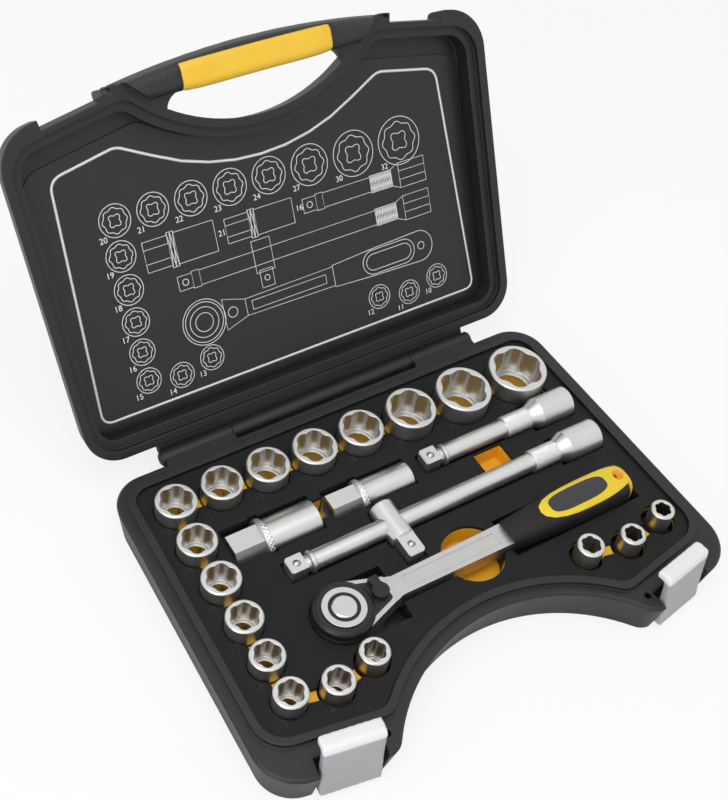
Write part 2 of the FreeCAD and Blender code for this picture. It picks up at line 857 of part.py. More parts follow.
def ratchet_body():
    plan = ratchet_plan(head_bottom_z, head_top_z - head_bottom_z)
    y0 = ratchet_y - head_radius
    y1 = ratchet_y + head_radius
    low_x = head_x + head_radius + head_step
    plan = plan.cut(box(low_x, grip_start_x + 1, y0, y1, head_bottom_z - 1, shank_bottom_z))
    high_x = head_x + lever_offset + lever_radius + lever_land
    plan = plan.cut(box(high_x, grip_start_x + 1, y0, y1, shank_top_z, head_top_z + 1))
    panel_half = shank_half_width_head - shank_panel_margin
    panel = box(neck_x + shank_panel_start, grip_start_x - shank_panel_end, ratchet_y - panel_half,
                ratchet_y + panel_half, shank_top_z - shank_panel_depth, head_top_z)
    body = join([plan.cut(panel), tang()])
    body = body.cut(upright(gear_tip_radius + gear_gap, head_x, ratchet_y, gear_bottom_z - gear_gap, head_top_z + 1))
    body = body.cut(upright(gear_journal_radius + running_fit, head_x, ratchet_y, 0, head_top_z))
    body = body.cut(pawl_cavity())
    lever_hole = upright(lever_shaft_radius + running_fit, head_x + lever_offset, ratchet_y,
                         pawl_bottom_z, head_top_z + 1)
    return body.cut(lever_hole).cut(hang_hole())


def ratchet_cover():
    disc = upright(cover_radius, head_x, ratchet_y, head_top_z, head_top_z + cover_thickness)
    rim = [e for e in disc.Edges if isinstance(e.Curve, Part.Circle) and e.CenterOfMass.z > head_top_z + 1]
    disc = disc.makeChamfer(socket_edge, rim)
    return disc.cut(upright(gear_hub_radius + cover_hole_gap, head_x, ratchet_y, head_top_z - 1, above_all))


def drive_gear():
    gear_top_z = head_top_z - gear_gap
    points = []
    for i in range(2 * gear_teeth + 1):
        angle = math.pi * i / gear_teeth
        radius = gear_tip_radius if i % 2 == 0 else gear_tip_radius - gear_tooth_depth
        points.append(Vec(head_x + radius * math.cos(angle), ratchet_y + radius * math.sin(angle), gear_bottom_z))
    gear = prism(Part.makePolygon(points), gear_top_z - gear_bottom_z)
    hub = upright(gear_hub_radius, head_x, ratchet_y, gear_top_z - 1, gear_hub_top_z)
    journal = upright(gear_journal_radius, head_x, ratchet_y, head_bottom_z, gear_bottom_z + 1)
    half = drive_square / 2 - drive_square_fit
    square = box(head_x - half, head_x + half, ratchet_y - half, ratchet_y + half, drive_tip_z, head_bottom_z + 1)
    tip = [e for e in square.Edges if abs(e.CenterOfMass.z - drive_tip_z) < 1e-6]
    square = square.makeChamfer(bar_square_chamfer, tip)
    whole = join([gear, hub, journal, square])
    whole = whole.cut(upright(button_radius + button_gap, head_x, ratchet_y, button_recess_z, above_all))
    whole = whole.cut(upright(rod_radius + rod_gap, head_x, ratchet_y,
                              rod_end_z - button_travel - rod_gap, button_recess_z + 1))
    side_hole = along_x(drive_ball_radius + ball_fit, ratchet_y, drive_ball_z, head_x, head_x + half + 1)
    return whole.cut(side_hole)


def drive_ball():
    x = head_x + drive_square / 2 - drive_square_fit + drive_ball_proud - drive_ball_radius
    return Part.makeSphere(drive_ball_radius, Vec(x, ratchet_y, drive_ball_z))


def release_button():
    head = upright(button_radius, head_x, ratchet_y, button_top_z - button_height, button_top_z)
    top = [e for e in head.Edges if isinstance(e.Curve, Part.Circle) and e.CenterOfMass.z > button_top_z - 0.1]
    head = head.makeChamfer(socket_edge, top)
    stem = upright(rod_radius, head_x, ratchet_y, rod_end_z, button_top_z - button_height + 1)
    waist_z = drive_ball_z + rod_waist_rise
    ring = upright(rod_radius + 1, head_x, ratchet_y, waist_z, waist_z + rod_waist_length)
    ring = ring.cut(upright(rod_waist_radius, head_x, ratchet_y, waist_z - 1, above_all))
    return join([head, stem]).cut(ring)


def button_spring():
    bottom = button_recess_z + ball_seat
    length = button_top_z - button_height - ball_seat - bottom
    spring = coil_spring(button_spring_radius, button_spring_wire, button_spring_turns, length)
    spring.translate(Vec(head_x, ratchet_y, bottom))
    return spring


def reverse_lever():
    x = head_x + lever_offset
    z0 = head_top_z + lever_lift
    disc = upright(lever_radius, x, ratchet_y, z0, z0 + lever_height)
    tab = box(x - lever_tab_half_width, x + lever_tab_half_width, ratchet_y, ratchet_y + lever_tab_length,
              z0, z0 + lever_height)
    shaft = upright(lever_shaft_radius, x, ratchet_y, lever_shaft_bottom_z, z0 + 1)
    return join([disc, tab, shaft])


def pawl():
    height = pawl_top_z - pawl_bottom_z
    ring = upright(pawl_outer_radius, head_x, ratchet_y, pawl_bottom_z, pawl_top_z)
    ring = ring.cut(upright(pawl_inner_radius, head_x, ratchet_y, pawl_bottom_z - 1, pawl_top_z + 1))
    reach = pawl_outer_radius * 2
    side = reach * math.tan(math.radians(pawl_half_angle))
    points = [
        Vec(head_x, ratchet_y, pawl_bottom_z),
        Vec(head_x + reach, ratchet_y - side, pawl_bottom_z),
        Vec(head_x + reach, ratchet_y + side, pawl_bottom_z),
        Vec(head_x, ratchet_y, pawl_bottom_z),
    ]
    return ring.common(prism(Part.makePolygon(points), height))


def pawl_spring():
    """The short spring behind the pawl, drawn as the plain sleeve that its turns fill."""
    start = head_x + pawl_outer_radius + pawl_spring_gap
    end = head_x + lever_offset - lever_shaft_radius - pawl_spring_gap
    z = (pawl_bottom_z + pawl_top_z) / 2
    sleeve = along_x(pawl_spring_radius, ratchet_y, z, start, end)
    return sleeve.cut(along_x(pawl_spring_radius - spring_wire, ratchet_y, z, start, end))


def grip_section(x, half_width, half_height):
    """An oval of two arcs and two flats across X."""
    y, z = ratchet_y, grip_axis_z
    flat = half_height * grip_flat_share
    bow = half_width - half_height * grip_corner_share
    points = [Vec(x, y - bow, z + half_height), Vec(x, y + bow, z + half_height),
              Vec(x, y + half_width, z + flat), Vec(x, y + half_width, z - flat),
              Vec(x, y + bow, z - half_height), Vec(x, y - bow, z - half_height),
              Vec(x, y - half_width, z - flat), Vec(x, y - half_width, z + flat)]
    return Part.makePolygon(points + points[:1])


def grip_blank():
    middle_x = grip_start_x + grip_widest_share * (grip_end_x - grip_start_x)
    round_x = grip_end_x - grip_round_length
    return Part.makeLoft([
        grip_section(grip_start_x, grip_half_width_start, grip_half_height_start),
        grip_section(middle_x, grip_half_width_end, grip_half_height_end),
        grip_section(round_x, grip_half_width_end * grip_round_share, grip_half_height_end * grip_round_share),
        grip_section(grip_end_x, grip_half_width_end * grip_tip_width_share,
                     grip_half_height_end * grip_tip_height_share),
    ], True, True)


def inlay_room():
    """The shallow bed in the grip's top that the inlay fills, widest at the grip's end."""
    y0 = ratchet_y - grip_half_width_end + inlay_edge_y
    y1 = ratchet_y + grip_half_width_end - inlay_edge_y
    bed_z = grip_axis_z + grip_half_height_end - inlay_thickness
    bed = box(inlay_start_x, grip_end_x + 1, y0, y1, bed_z - 1, above_all)
    corners = [e for e in bed.Edges if abs(e.tangentAt(e.FirstParameter).z) > 0.9]
    return bed.makeFillet((y1 - y0) * 0.45, [e for e in corners if e.CenterOfMass.x < inlay_start_x + 1])


def badge_room():
    half = badge_half_width
    z0 = grip_axis_z + grip_half_height_end - badge_thickness - inlay_thickness * 0.5
    plate = box(badge_start_x, badge_end_x, ratchet_y - half, ratchet_y + half, z0, above_all)
    corners = [e for e in plate.Edges if abs(e.tangentAt(e.FirstParameter).z) > 0.9]
    return plate.makeFillet(half * 0.95, corners)


def hang_hole():
    return upright(hang_hole_radius, hang_hole_x, ratchet_y, 0, above_all)


def ratchet_grip():
    return grip_blank().cut(tang()).cut(inlay_room()).cut(hang_hole())


def grip_inlay():
    return grip_blank().common(inlay_room()).cut(badge_room()).cut(hang_hole())


def grip_badge():
    return grip_blank().common(inlay_room()).common(badge_room())


# Tray and liner: every tool's pocket as a room to cut and a shell round it

def bar_rooms(length, y):
    """Box rooms for a bar: tip and shaft, then knurl, then head."""
    x0 = bar_end_x - length - pocket_gap
    knurl_x = bar_end_x - bar_head_length - bar_cone_length - bar_knurl_length - pocket_gap
    cone_x = bar_end_x - bar_head_length - bar_cone_length
    end_x = bar_end_x + pocket_gap
    rooms = []
    for start, end, radius in ((x0, knurl_x, bar_collar_radius), (knurl_x, cone_x, bar_knurl_radius),
                               (cone_x, end_x, bar_head_radius)):
        reach = radius + pocket_gap
        rooms.append((start, end, y - reach, y + reach, bar_axis_z - radius - seat_gap))
    return rooms


def tee_rooms():
    half = drive_square / 2
    barrel = tee_radius + pocket_gap
    return [
        (tee_x - barrel, tee_x + barrel, tee_front_y - pocket_gap, tee_back_y + pocket_gap,
         bar_axis_z - tee_radius - seat_gap),
        (tee_x - half - pocket_gap, tee_x + half + tee_slide_room, tee_tip_y - pocket_gap, tee_front_y,
         bar_axis_z - half - seat_gap),
    ]


def plug_rooms():
    rooms = []
    for start_x, axis_z, radius, hexagon in spark_plug_sockets.values():
        collar = radius + plug_collar_step
        corner = hexagon / math.sqrt(3)
        collar_x = start_x + plug_hex_length
        body_x = collar_x + plug_collar_length
        rooms.append((start_x - pocket_gap, collar_x, upper_line_y - corner - pocket_gap,
                      upper_line_y + corner + pocket_gap, axis_z - hexagon / 2 - seat_gap))
        rooms.append((collar_x - pocket_gap, body_x + pocket_gap, upper_line_y - collar - pocket_gap,
                      upper_line_y + collar + pocket_gap, axis_z - collar - seat_gap))
        rooms.append((body_x, start_x + plug_length + pocket_gap, upper_line_y - radius - pocket_gap,
                      upper_line_y + radius + pocket_gap, axis_z - radius - seat_gap))
    return rooms


def plug_gap_well():
    first_x, first_z, first_radius, first_hexagon = spark_plug_sockets[21]
    second_x = spark_plug_sockets[16][0]
    return (first_x + plug_length, second_x, upper_line_y - plug_well_low, upper_line_y + plug_well_high,
            first_z - plug_well_drop)


def ratchet_rooms():
    shank = shank_half_width_grip + pocket_gap
    head_side = head_radius + pocket_gap
    grip = grip_half_width_end + pocket_gap
    return [
        (head_x, neck_x, ratchet_y - head_side, ratchet_y + head_side, head_bottom_z - seat_gap),
        (neck_x, grip_start_x, ratchet_y - shank, ratchet_y + shank, shank_bottom_z - seat_gap),
        (grip_start_x - pocket_gap, grip_end_x + pocket_gap, ratchet_y - grip, ratchet_y + grip,
         grip_axis_z - grip_half_height_end - seat_gap),
    ]


def box_rooms():
    rooms = bar_rooms(short_bar_length, upper_line_y) + bar_rooms(long_bar_length, lower_line_y)
    return rooms + tee_rooms() + plug_rooms() + ratchet_rooms() + [bar_well, large_socket_well, plug_gap_well()]


def round_rooms():
    """Upright round rooms: (x, y, radius, floor z)."""
    rooms = []
    for size, (x, y) in socket_places().items():
        rooms.append((x, y, pocket_radius(size), seat_of(size)))
    rooms.append((head_x, ratchet_y, head_radius + pocket_gap, head_bottom_z - seat_gap))
    rooms.append((head_x, ratchet_y, drive_square / math.sqrt(2) + pocket_gap, drive_tip_z - seat_gap))
    rooms.append((shank_well_x, ratchet_y, shank_well_radius, shank_well_floor))
    return rooms


def room_solids(grow, top):
    """All rooms as solids, grown outwards and down by a wall."""
    solids = []
    for x0, x1, y0, y1, floor in box_rooms():
        low = max(floor - grow, base_floor)
        solids.append(box(x0 - grow, x1 + grow, y0 - grow, y1 + grow, low, top))
    for x, y, radius, floor in round_rooms():
        low = base_floor if grow else floor
        if grow and floor > seat_z:
            low = max(floor - grow, base_floor)
        solids.append(upright(radius + grow, x, y, low, top))
    return solids


def bridges():
    """Slots in the tray between neighbouring sockets, where the liner shows."""
    places = socket_places()
    slots = []
    for chain in socket_chains:
        for first, second in zip(chain, chain[1:]):
            a = Vec(places[first][0], places[first][1], web_top - 1)
            b = Vec(places[second][0], places[second][1], web_top - 1)
            run = b - a
            slot = box(0, run.Length, -bridge_width / 2, bridge_width / 2, 0, tray_thickness + 2)
            slot.rotate(Vec(0, 0, 0), Vec(0, 0, 1), math.degrees(math.atan2(run.y, run.x)))
            slot.translate(a)
            slots.append(slot)
    return slots


def tool_tray():
    plate = prism(outline(-tray_gap, -tray_gap, web_top), tray_thickness)
    for cutter in room_solids(0, above_all) + bridges():
        plate = plate.cut(cutter)
    badge = box(badge_recess_x - badge_recess_length / 2, badge_recess_x + badge_recess_length / 2,
                badge_recess_y - badge_recess_width / 2, badge_recess_y + badge_recess_width / 2,
                tray_top - badge_recess_depth, tray_top + 1)
    return plate.cut(badge).removeSplitter()


def pocket_liner():
    web = prism(outline(-liner_gap, -liner_gap, web_top - web_thickness), web_thickness)
    bound = prism(outline(-liner_gap, -liner_gap, base_floor), web_top - base_floor)
    shell = join([web] + [s.common(bound) for s in room_solids(cup_wall, web_top)])
    for cutter in room_solids(0, above_all):
        shell = shell.cut(cutter)
    return shell.removeSplitter()


def build():
    nodes = {
        "base_shell": base_shell(),
        "tool_tray": tool_tray(),
        "pocket_liner": pocket_liner(),
        "hinge_pin": hinge_pin(),
        "latch_pins": latch_pins(),
        "latch_left": latch(-1),
        "latch_right": latch(1),
        "lid_shell": lid_shell(),
        "lid_label_plate": lid_label_plate(),
        "handle_grip": handle_grip(),
    }
    for size, place in socket_places().items():
        nodes["socket_%d" % size] = socket(size, place)
    for size in spark_plug_sockets:
        nodes["spark_plug_socket_%d" % size] = spark_plug_socket(size)
        nodes["spark_plug_insert_%d" % size] = spark_plug_insert(size)
    for length, y in ((short_bar_length, upper_line_y), (long_bar_length, lower_line_y)):
        name = "%d" % length
        x = bar_ball_x(length)
        nodes["extension_bar_" + name] = extension_bar(length, y)
        nodes["bar_" + name + "_ball"] = detent_ball(x, y, bar_axis_z)
        nodes["bar_" + name + "_spring"] = ball_spring(x, y, bar_axis_z)
    nodes["tee_slider"] = tee_slider()
    nodes["tee_ball"] = detent_ball(tee_x, tee_ball_y(), bar_axis_z)
    nodes["tee_spring"] = ball_spring(tee_x, tee_ball_y(), bar_axis_z)
    nodes["ratchet_body"] = ratchet_body()
    nodes["ratchet_cover"] = ratchet_cover()
    nodes["drive_gear"] = drive_gear()
    nodes["drive_ball"] = drive_ball()
    nodes["release_button"] = release_button()
    nodes["button_spring"] = button_spring()
    nodes["reverse_lever"] = reverse_lever()
    nodes["pawl"] = pawl()
    nodes["pawl_spring"] = pawl_spring()
    nodes["ratchet_grip"] = ratchet_grip()
    nodes["grip_inlay"] = grip_inlay()
    nodes["grip_badge"] = grip_badge()
    return nodes


for node, shape in build().items():
    shape.exportStep("parts/%s.step" % node)
    print(node, len(shape.Solids), round(shape.Volume, 1), shape.isValid())
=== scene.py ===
"""A half-inch-drive socket set in its open case: finishes, printed label, moulded figures and knurling."""

import json
import math
import bmesh
import bpy
from bpy.props import FloatProperty, FloatVectorProperty, IntProperty, PointerProperty
from mathutils import Matrix, Vector


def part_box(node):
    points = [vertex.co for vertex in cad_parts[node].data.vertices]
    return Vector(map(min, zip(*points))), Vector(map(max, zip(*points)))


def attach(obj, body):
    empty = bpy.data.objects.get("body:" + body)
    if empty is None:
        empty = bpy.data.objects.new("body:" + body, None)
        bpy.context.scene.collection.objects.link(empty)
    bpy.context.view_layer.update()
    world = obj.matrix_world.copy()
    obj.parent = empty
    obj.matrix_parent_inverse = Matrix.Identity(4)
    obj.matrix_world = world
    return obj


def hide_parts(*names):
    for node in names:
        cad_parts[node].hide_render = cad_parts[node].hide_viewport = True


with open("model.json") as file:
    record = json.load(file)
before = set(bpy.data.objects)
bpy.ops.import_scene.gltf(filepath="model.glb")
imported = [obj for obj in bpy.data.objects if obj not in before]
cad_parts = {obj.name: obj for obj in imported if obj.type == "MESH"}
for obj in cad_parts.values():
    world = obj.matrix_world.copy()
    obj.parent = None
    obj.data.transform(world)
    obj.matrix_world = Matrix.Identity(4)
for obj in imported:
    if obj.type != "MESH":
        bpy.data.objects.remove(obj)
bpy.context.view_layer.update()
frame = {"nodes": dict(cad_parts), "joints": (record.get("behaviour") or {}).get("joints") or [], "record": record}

bl_info = {
    "name": "Socket set in case",
    "version": (1, 0, 0),
    "blender": (4, 5, 0),
    "location": "View3D > Sidebar > Socket set",
    "description": "Dresses a packed socket set: moulded case, printed label, chrome tools, stage",
    "category": "Object",
}

# The open lid: x along the hinge, v up the lid from the hinge, w out of its inner face
hinge = next(joint for joint in frame["joints"] if joint["name"] == "lid_hinge")
hinge_point = Vector(hinge["pos_m"])
open_angle = math.radians(-hinge["range_deg"][0])
lid_up = Vector((0, -math.cos(open_angle), math.sin(open_angle)))
lid_out = Vector((0, -math.sin(open_angle), -math.cos(open_angle)))

socket_sizes = sorted(int(name[7:]) for name in frame["nodes"] if name.startswith("socket_"))
plug_sizes = (16, 21)
bar_lengths = (125, 250)
long_tools = ("spark_plug_socket_16", "spark_plug_socket_21", "tee_slider", "ratchet_cover", "ratchet_grip")

# Sizes within the solids, in metres, which the frame gives only as meshes
bar_knurl_radius = 0.0076
bar_knurl_start = 0.0562
bar_knurl_end = 0.0352
bar_head_length = 0.035
plug_collar = 0.022
plug_knurl_start = 0.0009
plug_knurl_end = 0.0041
shank_half = 0.0085
neck_reach = 0.048
lever_radius = 0.0056
seat_radius = 0.0084
knuckle_split = 0.0732
knuckle_radius = 0.0055
knuckle_dome = 0.003
hang_hole_inset = 0.012

# Where the lamps stand and what they face
key_size = 1.1
key_place = Vector((-0.35, -0.25, 1.5))
fill_size = 0.8
fill_place = Vector((-1.3, -0.6, 0.7))
lamp_target = Vector((0, 0.03, 0.04))


def colour(name, description, default):
    """A colour that a user can change."""
    return FloatVectorProperty(name=name, description=description, subtype="COLOR", size=3, min=0, max=1,
                               default=default)


def length(name, description, default):
    """A length in metres that a user can change."""
    return FloatProperty(name=name, description=description, subtype="DISTANCE", unit="LENGTH",
                         default=default, precision=5)


def share(name, description, default):
    """A share from 0 to 1 that a user can change."""
    return FloatProperty(name=name, description=description, subtype="FACTOR", min=0, max=1,
                         default=default)


def number(name, description, default):
    """A count that a user can change."""
    return IntProperty(name=name, description=description, min=0, default=default)


def watts(name, description, default):
    """A lamp's power that a user can change."""
    return FloatProperty(name=name, description=description, unit="POWER", min=0, default=default)


def position(name, description, default):
    """A place in metres that a user can change."""
    return FloatVectorProperty(name=name, description=description, subtype="XYZ", unit="LENGTH",
                               default=default)


class CaseLooks(bpy.types.PropertyGroup):
    """Colours and edges of the case"""

    shell_colour: colour("Shells", "Moulded base and lid", (0.013, 0.0135, 0.0142))
    tray_colour: colour("Tray", "Plate that the tools lie in", (0.0078, 0.008, 0.0085))
    worn_colour: colour("Worn edge", "Plastic where its edges are rubbed", (0.05, 0.051, 0.053))
    liner_colour: colour("Liner", "Formed sheet under the tray", (0.92, 0.5, 0.03))
    handle_colour: colour("Handle grip", "Sleeve on the carrying handle", (0.93, 0.54, 0.045))
    latch_colour: colour("Latches", "Silver-grey swing latches", (0.37, 0.38, 0.395))
    # Painted highlight: the latches' tops are coloured far paler than their fronts, as lit from above
    latch_highlight_colour: colour("Latch tops", "The latches' rubbed tops", (0.86, 0.87, 0.89))
    latch_highlight_height: length("Latch top", "Height of the rubbed stretch at a latch's top", 0.0068)
    # Painted shade: the liner is coloured black beside the long tools and in a ring round each socket, where shade
    # falls in the recesses
    tool_shade_room: length("Recess room", "Black stretch of the liner beside each long tool", 0.0045)
    cup_shade_room: length("Cup room", "Black stretch of the liner round each socket", 0.0016)
    cup_floor: share("Cup floor", "Yellow floor under each socket, as a share of its radius", 0.8)
    well_room: length("Well room", "How far the yellow wells reach past their stated openings", 0.0016)
    edge_round: length("Edge rounding", "Radius of the moulded edges", 0.0014)
    rounding_grain: length("Rounding grain", "Cells in which latches and handle grip are rounded", 0.0009)
    rounding: number("Rounding", "Rounds of rubbing on those pieces' edges", 9)
    handle_bow: length("Handle bow", "How far the handle grip bows outward at its middle", 0.0007)
    handle_swell: length("Handle swell", "How far the handle grip swells towards the fingers", 0.0016)
    figure_height: length("Tray figures", "Height of the sizes moulded in the tray", 0.0052)
    figure_rise: length("Figure rise", "How far the tray's figures stand up", 0.0003)


class LabelLooks(bpy.types.PropertyGroup):
    """The printed plate inside the lid"""

    plate_colour: colour("Plate", "Dark ground of the label", (0.0135, 0.0142, 0.0168))
    print_colour: colour("Print", "Lines and figures", (0.86, 0.87, 0.88))
    border_width: length("Border", "Width of the border line", 0.002)
    line_width: length("Lines", "Width of the drawing's lines", 0.00062)
    figure_height: length("Figures", "Height of the printed sizes", 0.004)
    ink_height: length("Ink", "How far the print stands off the plate", 0.00008)
    drawing_scale: share("Drawing scale", "Size of the drawn tools against the real ones", 0.8)


class ToolLooks(bpy.types.PropertyGroup):
    """Finishes of the tools"""

    chrome_colour: colour("Chrome", "Satin chrome of sockets and bars", (0.63, 0.63, 0.62))
    # Painted shade and painted reflection: the sockets' bores are coloured dark brown, for their shade and the
    # yellow liner seen in them
    bore_shade_colour: colour("Bores", "Oiled chrome deep in the sockets", (0.19, 0.145, 0.065))
    bore_shade_reach: length("Bore reach", "Width of the sockets' bores that look dark", 0.012)
    steel_colour: colour("Steel", "Pins, balls and springs", (0.5, 0.5, 0.51))
    black_colour: colour("Black parts", "Ratchet's cover, lever and grip", (0.009, 0.009, 0.0095))
    inlay_colour: colour("Inlay", "Yellow field on the ratchet's grip", (0.97, 0.66, 0.03))
    hole_colour: colour("Hanging hole", "Ring of the hole in the grip", (1.0, 0.34, 0.005))
    badge_colour: colour("Plate", "Bare plate in the inlay", (0.03, 0.03, 0.034))
    grip_boxiness: share("Grip section", "How boxy the grip's section is: 0 is an ellipse", 0.35)
    cap_length: length("Yellow end", "Stretch of the grip that is yellow at its end", 0.0085)
    knurl_depth: length("Knurl depth", "Height of the knurl's points", 0.00042)
    knurl_count: number("Knurl count", "Points round the bar", 30)


class StageLooks(bpy.types.PropertyGroup):
    """Floor, light and camera"""

    floor_colour: colour("Floor", "Plain pale floor", (0.96, 0.96, 0.96))
    floor_size: length("Floor size", "Side of the square floor", 12.0)
    floor_glow: share("Floor white", "How far the seen floor goes to plain white", 0.8)
    ambient: FloatProperty(name="Ambient", description="Light from all round", min=0, default=0.5)
    key_power: watts("Key", "Power of the large lamp above", 11.0)
    fill_power: watts("Fill", "Power of the lamp at the left", 5.0)
    lens: FloatProperty(name="Lens", description="Focal length on a 36 mm sensor",
                        subtype="DISTANCE_CAMERA", default=70.55)
    camera_place: position("Camera", "Where the camera stands", (-0.4070, -0.3758, 0.79225))
    camera_target: position("Target", "Point at the picture's centre", (0.00556, 0.09135, 0.06))
    camera_roll: FloatProperty(name="Roll", description="Turn of the camera about its own line of sight",
                               subtype="ANGLE", unit="ROTATION", default=math.radians(11.93))


# Shaders

# The shaders' own coordinates are in millimetres, the frame's in metres
millimetres = 1000.0


class Value:
    """A shader socket that takes part in Python arithmetic."""

    def __init__(self, finish, socket):
        self.finish = finish
        self.socket = socket

    def _with(self, operation, first, second):
        return self.finish.node("ShaderNodeMath", {"operation": operation}, {0: first, 1: second})

    def __add__(self, other):
        return self._with("ADD", self, other)

    def __sub__(self, other):
        return self._with("SUBTRACT", self, other)

    def __rsub__(self, other):
        return self._with("SUBTRACT", other, self)

    def __mul__(self, other):
        return self._with("MULTIPLY", self, other)

    def __gt__(self, other):
        return self._with("GREATER_THAN", self, other)

    def __lt__(self, other):
        return self._with("LESS_THAN", self, other)

    __radd__ = __add__
    __rmul__ = __mul__


class Finish:
    """The nodes of one material, or of the world."""

    def __init__(self, tree):
        self.tree = tree

    def node(self, kind, settings=None, inputs=None, out=0):
        """A new node: first its settings, then the values or links of its sockets."""
        made = self.tree.nodes.new(kind)
        for name, value in (settings or {}).items():
            setattr(made, name, value)
        for name, value in (inputs or {}).items():
            self.feed(made.inputs[name], value)
        return Value(self, made.outputs[out])

    def feed(self, socket, value):
        """Link a socket to a value, or set it to a plain one."""
        if isinstance(value, Value):
            self.tree.links.new(value.socket, socket)
        else:
            socket.default_value = value

    def place(self, stretch=(1, 1, 1)):
        """The surface's own coordinates in millimetres, stretched along each axis."""
        own = self.node("ShaderNodeTexCoord", out="Object")
        scale = tuple(millimetres / s for s in stretch)
        return self.node("ShaderNodeVectorMath", {"operation": "MULTIPLY"}, {0: own, 1: scale})

    def noise(self, grain, detail=2.0, stretch=(1, 1, 1)):
        """Soft noise whose spots are about grain millimetres across."""
        return self.node("ShaderNodeTexNoise", {"noise_dimensions": "3D"},
                         {"Vector": self.place(stretch), "Scale": 1.0 / grain, "Detail": detail})

    def mix(self, factor, first, second):
        """A colour between two, the second where the factor is 1."""
        return self.node("ShaderNodeMix", {"data_type": "RGBA", "clamp_factor": True},
                         {0: factor, 6: rgba(first), 7: rgba(second)}, out=2)

    def rounded(self, radius):
        """The normal of a surface whose edges are rounded by this radius."""
        return self.node("ShaderNodeBevel", {"samples": 4}, {"Radius": radius})

    def edge(self, rounded, gain):
        """Near 1 at sharp edges and 0 on flat faces."""
        plain = self.node("ShaderNodeNewGeometry", out="Normal")
        return self.held((1 - self.dot(rounded, plain)) * gain)

    def dot(self, first, second):
        return self.node("ShaderNodeVectorMath", {"operation": "DOT_PRODUCT"}, {0: first, 1: second},
                         out="Value")

    def held(self, value):
        """The value, held between 0 and 1."""
        return self.node("ShaderNodeClamp", inputs={"Value": value})

    def bump(self, height, depth, normal):
        """Relief of depth metres."""
        return self.node("ShaderNodeBump", inputs={"Strength": 1.0, "Distance": depth, "Height": height,
                                                   "Normal": normal})

    def wave(self, value, pitch):
        """A triangle wave from 0 to 1."""
        return self.node("ShaderNodeMath", {"operation": "PINGPONG"}, {0: value * (2.0 / pitch), 1: 1.0})

    def along(self, direction, origin):
        """Millimetres along a direction from a point, in the piece's own coordinates."""
        start = millimetres * Vector(origin).dot(Vector(direction))
        return self.dot(self.place(), tuple(direction)) - start


def rgba(value):
    """A colour with its alpha, or a socket as it is."""
    if isinstance(value, Value):
        return value
    return (value[0], value[1], value[2], 1.0)


def shade(tone, factor):
    """A lighter or darker colour."""
    return tuple(min(1.0, c * factor) for c in tone)


def surface(name, **sockets):
    """A material with a Principled shader whose named sockets have these plain values."""
    material = bpy.data.materials.new(name)
    material.use_nodes = True
    finish = Finish(material.node_tree)
    finish.material = material
    finish.shader = next(n for n in material.node_tree.nodes if n.type == "BSDF_PRINCIPLED")
    for socket, value in sockets.items():
        finish.feed(finish.shader.inputs[socket.replace("_", " ")], value)
    return finish


def wear(finish, **links):
    """Feed the shader's named sockets, and give the finished material."""
    for socket, value in links.items():
        finish.feed(finish.shader.inputs[socket.replace("_", " ")], value)
    return finish.material


def plastic(name, specular, radius, grain=0.55):
    """The start of a moulded plastic: a fine spark-eroded grain, broad unevenness and rounded edges."""
    finish = surface(name, Specular_IOR_Level=specular)
    finish.fine = finish.noise(grain, 3.0)
    finish.broad = finish.noise(38.0, 2.0)
    finish.soft = finish.rounded(radius)
    return finish


def rubbed(finish):
    """Near 1 along a plastic's edges, more in some stretches than in others."""
    return finish.edge(finish.soft, 2.4) * (0.35 + 0.65 * finish.broad)


def uneven(finish, tone, dark=0.82, light=1.2):
    """A plastic's colour, darker in some stretches than in others."""
    return finish.mix(finish.broad, shade(tone, dark), shade(tone, light))


def dull(finish, roughness, edge=0.0):
    """A plastic's roughness, with its grain in it and smoother along the edges."""
    return roughness + 0.12 * (finish.fine - 0.5) + 0.1 * (finish.broad - 0.5) - 0.12 * edge


def moulded(name, tone, worn, roughness, radius, grain=0.55, depth=0.00002, specular=0.3, end=None):
    """Moulded plastic whose edges are rubbed pale.

    An end of (direction, point, tone) gives the stretch past a point its own tone, with a soft start.
    """
    finish = plastic(name, specular, radius, grain)
    edge = rubbed(finish)
    paint = finish.mix(edge, uneven(finish, tone), worn)
    if end:
        direction, start, end_tone = end
        paint = finish.mix(finish.along(direction, start) * 0.5, paint, end_tone)
    return wear(finish, Base_Color=paint, Roughness=dull(finish, roughness, edge),
                Normal=finish.bump(finish.fine, depth, finish.soft))


def satin_chrome(name, tone, roughness, radius, stretch=(1, 1, 1), inside=None):
    """Satin chrome plate: bead-blasted or turned grain, with polished edges.

    An inside of (tone, reach) paints shade into the bores that are about reach metres wide, in a brownish tone
    that is also a painted reflection of the yellow liner.
    """
    finish = surface(name, Metallic=1.0)
    grain = finish.noise(0.28, 2.0, stretch)
    broad = finish.noise(14.0, 2.0)
    rounded = finish.rounded(radius)
    edge = finish.edge(rounded, 3.0)
    ground = finish.mix(broad, shade(tone, 0.94), shade(tone, 1.04))
    plate = finish.mix(edge, ground, shade(tone, 1.4))
    if inside:
        bore_shade_tone, reach = inside
        # Painted shade: dark where the piece hides its own surface, kept bright on faces that look up
        light = finish.node("ShaderNodeAmbientOcclusion", {"only_local": True, "samples": 6},
                            {"Distance": reach}, out="AO")
        open_air = finish.held((light - 0.3) * 2.0)
        level = finish.dot(finish.node("ShaderNodeNewGeometry", out="Normal"), (0, 0, 1)) > 0.6
        plate = finish.mix(open_air + level, bore_shade_tone, plate)
    return wear(finish, Base_Color=plate,
                Roughness=roughness + 0.1 * (grain - 0.5) + 0.06 * (broad - 0.5) - 0.16 * edge,
                Normal=finish.bump(grain, 0.000002, rounded))


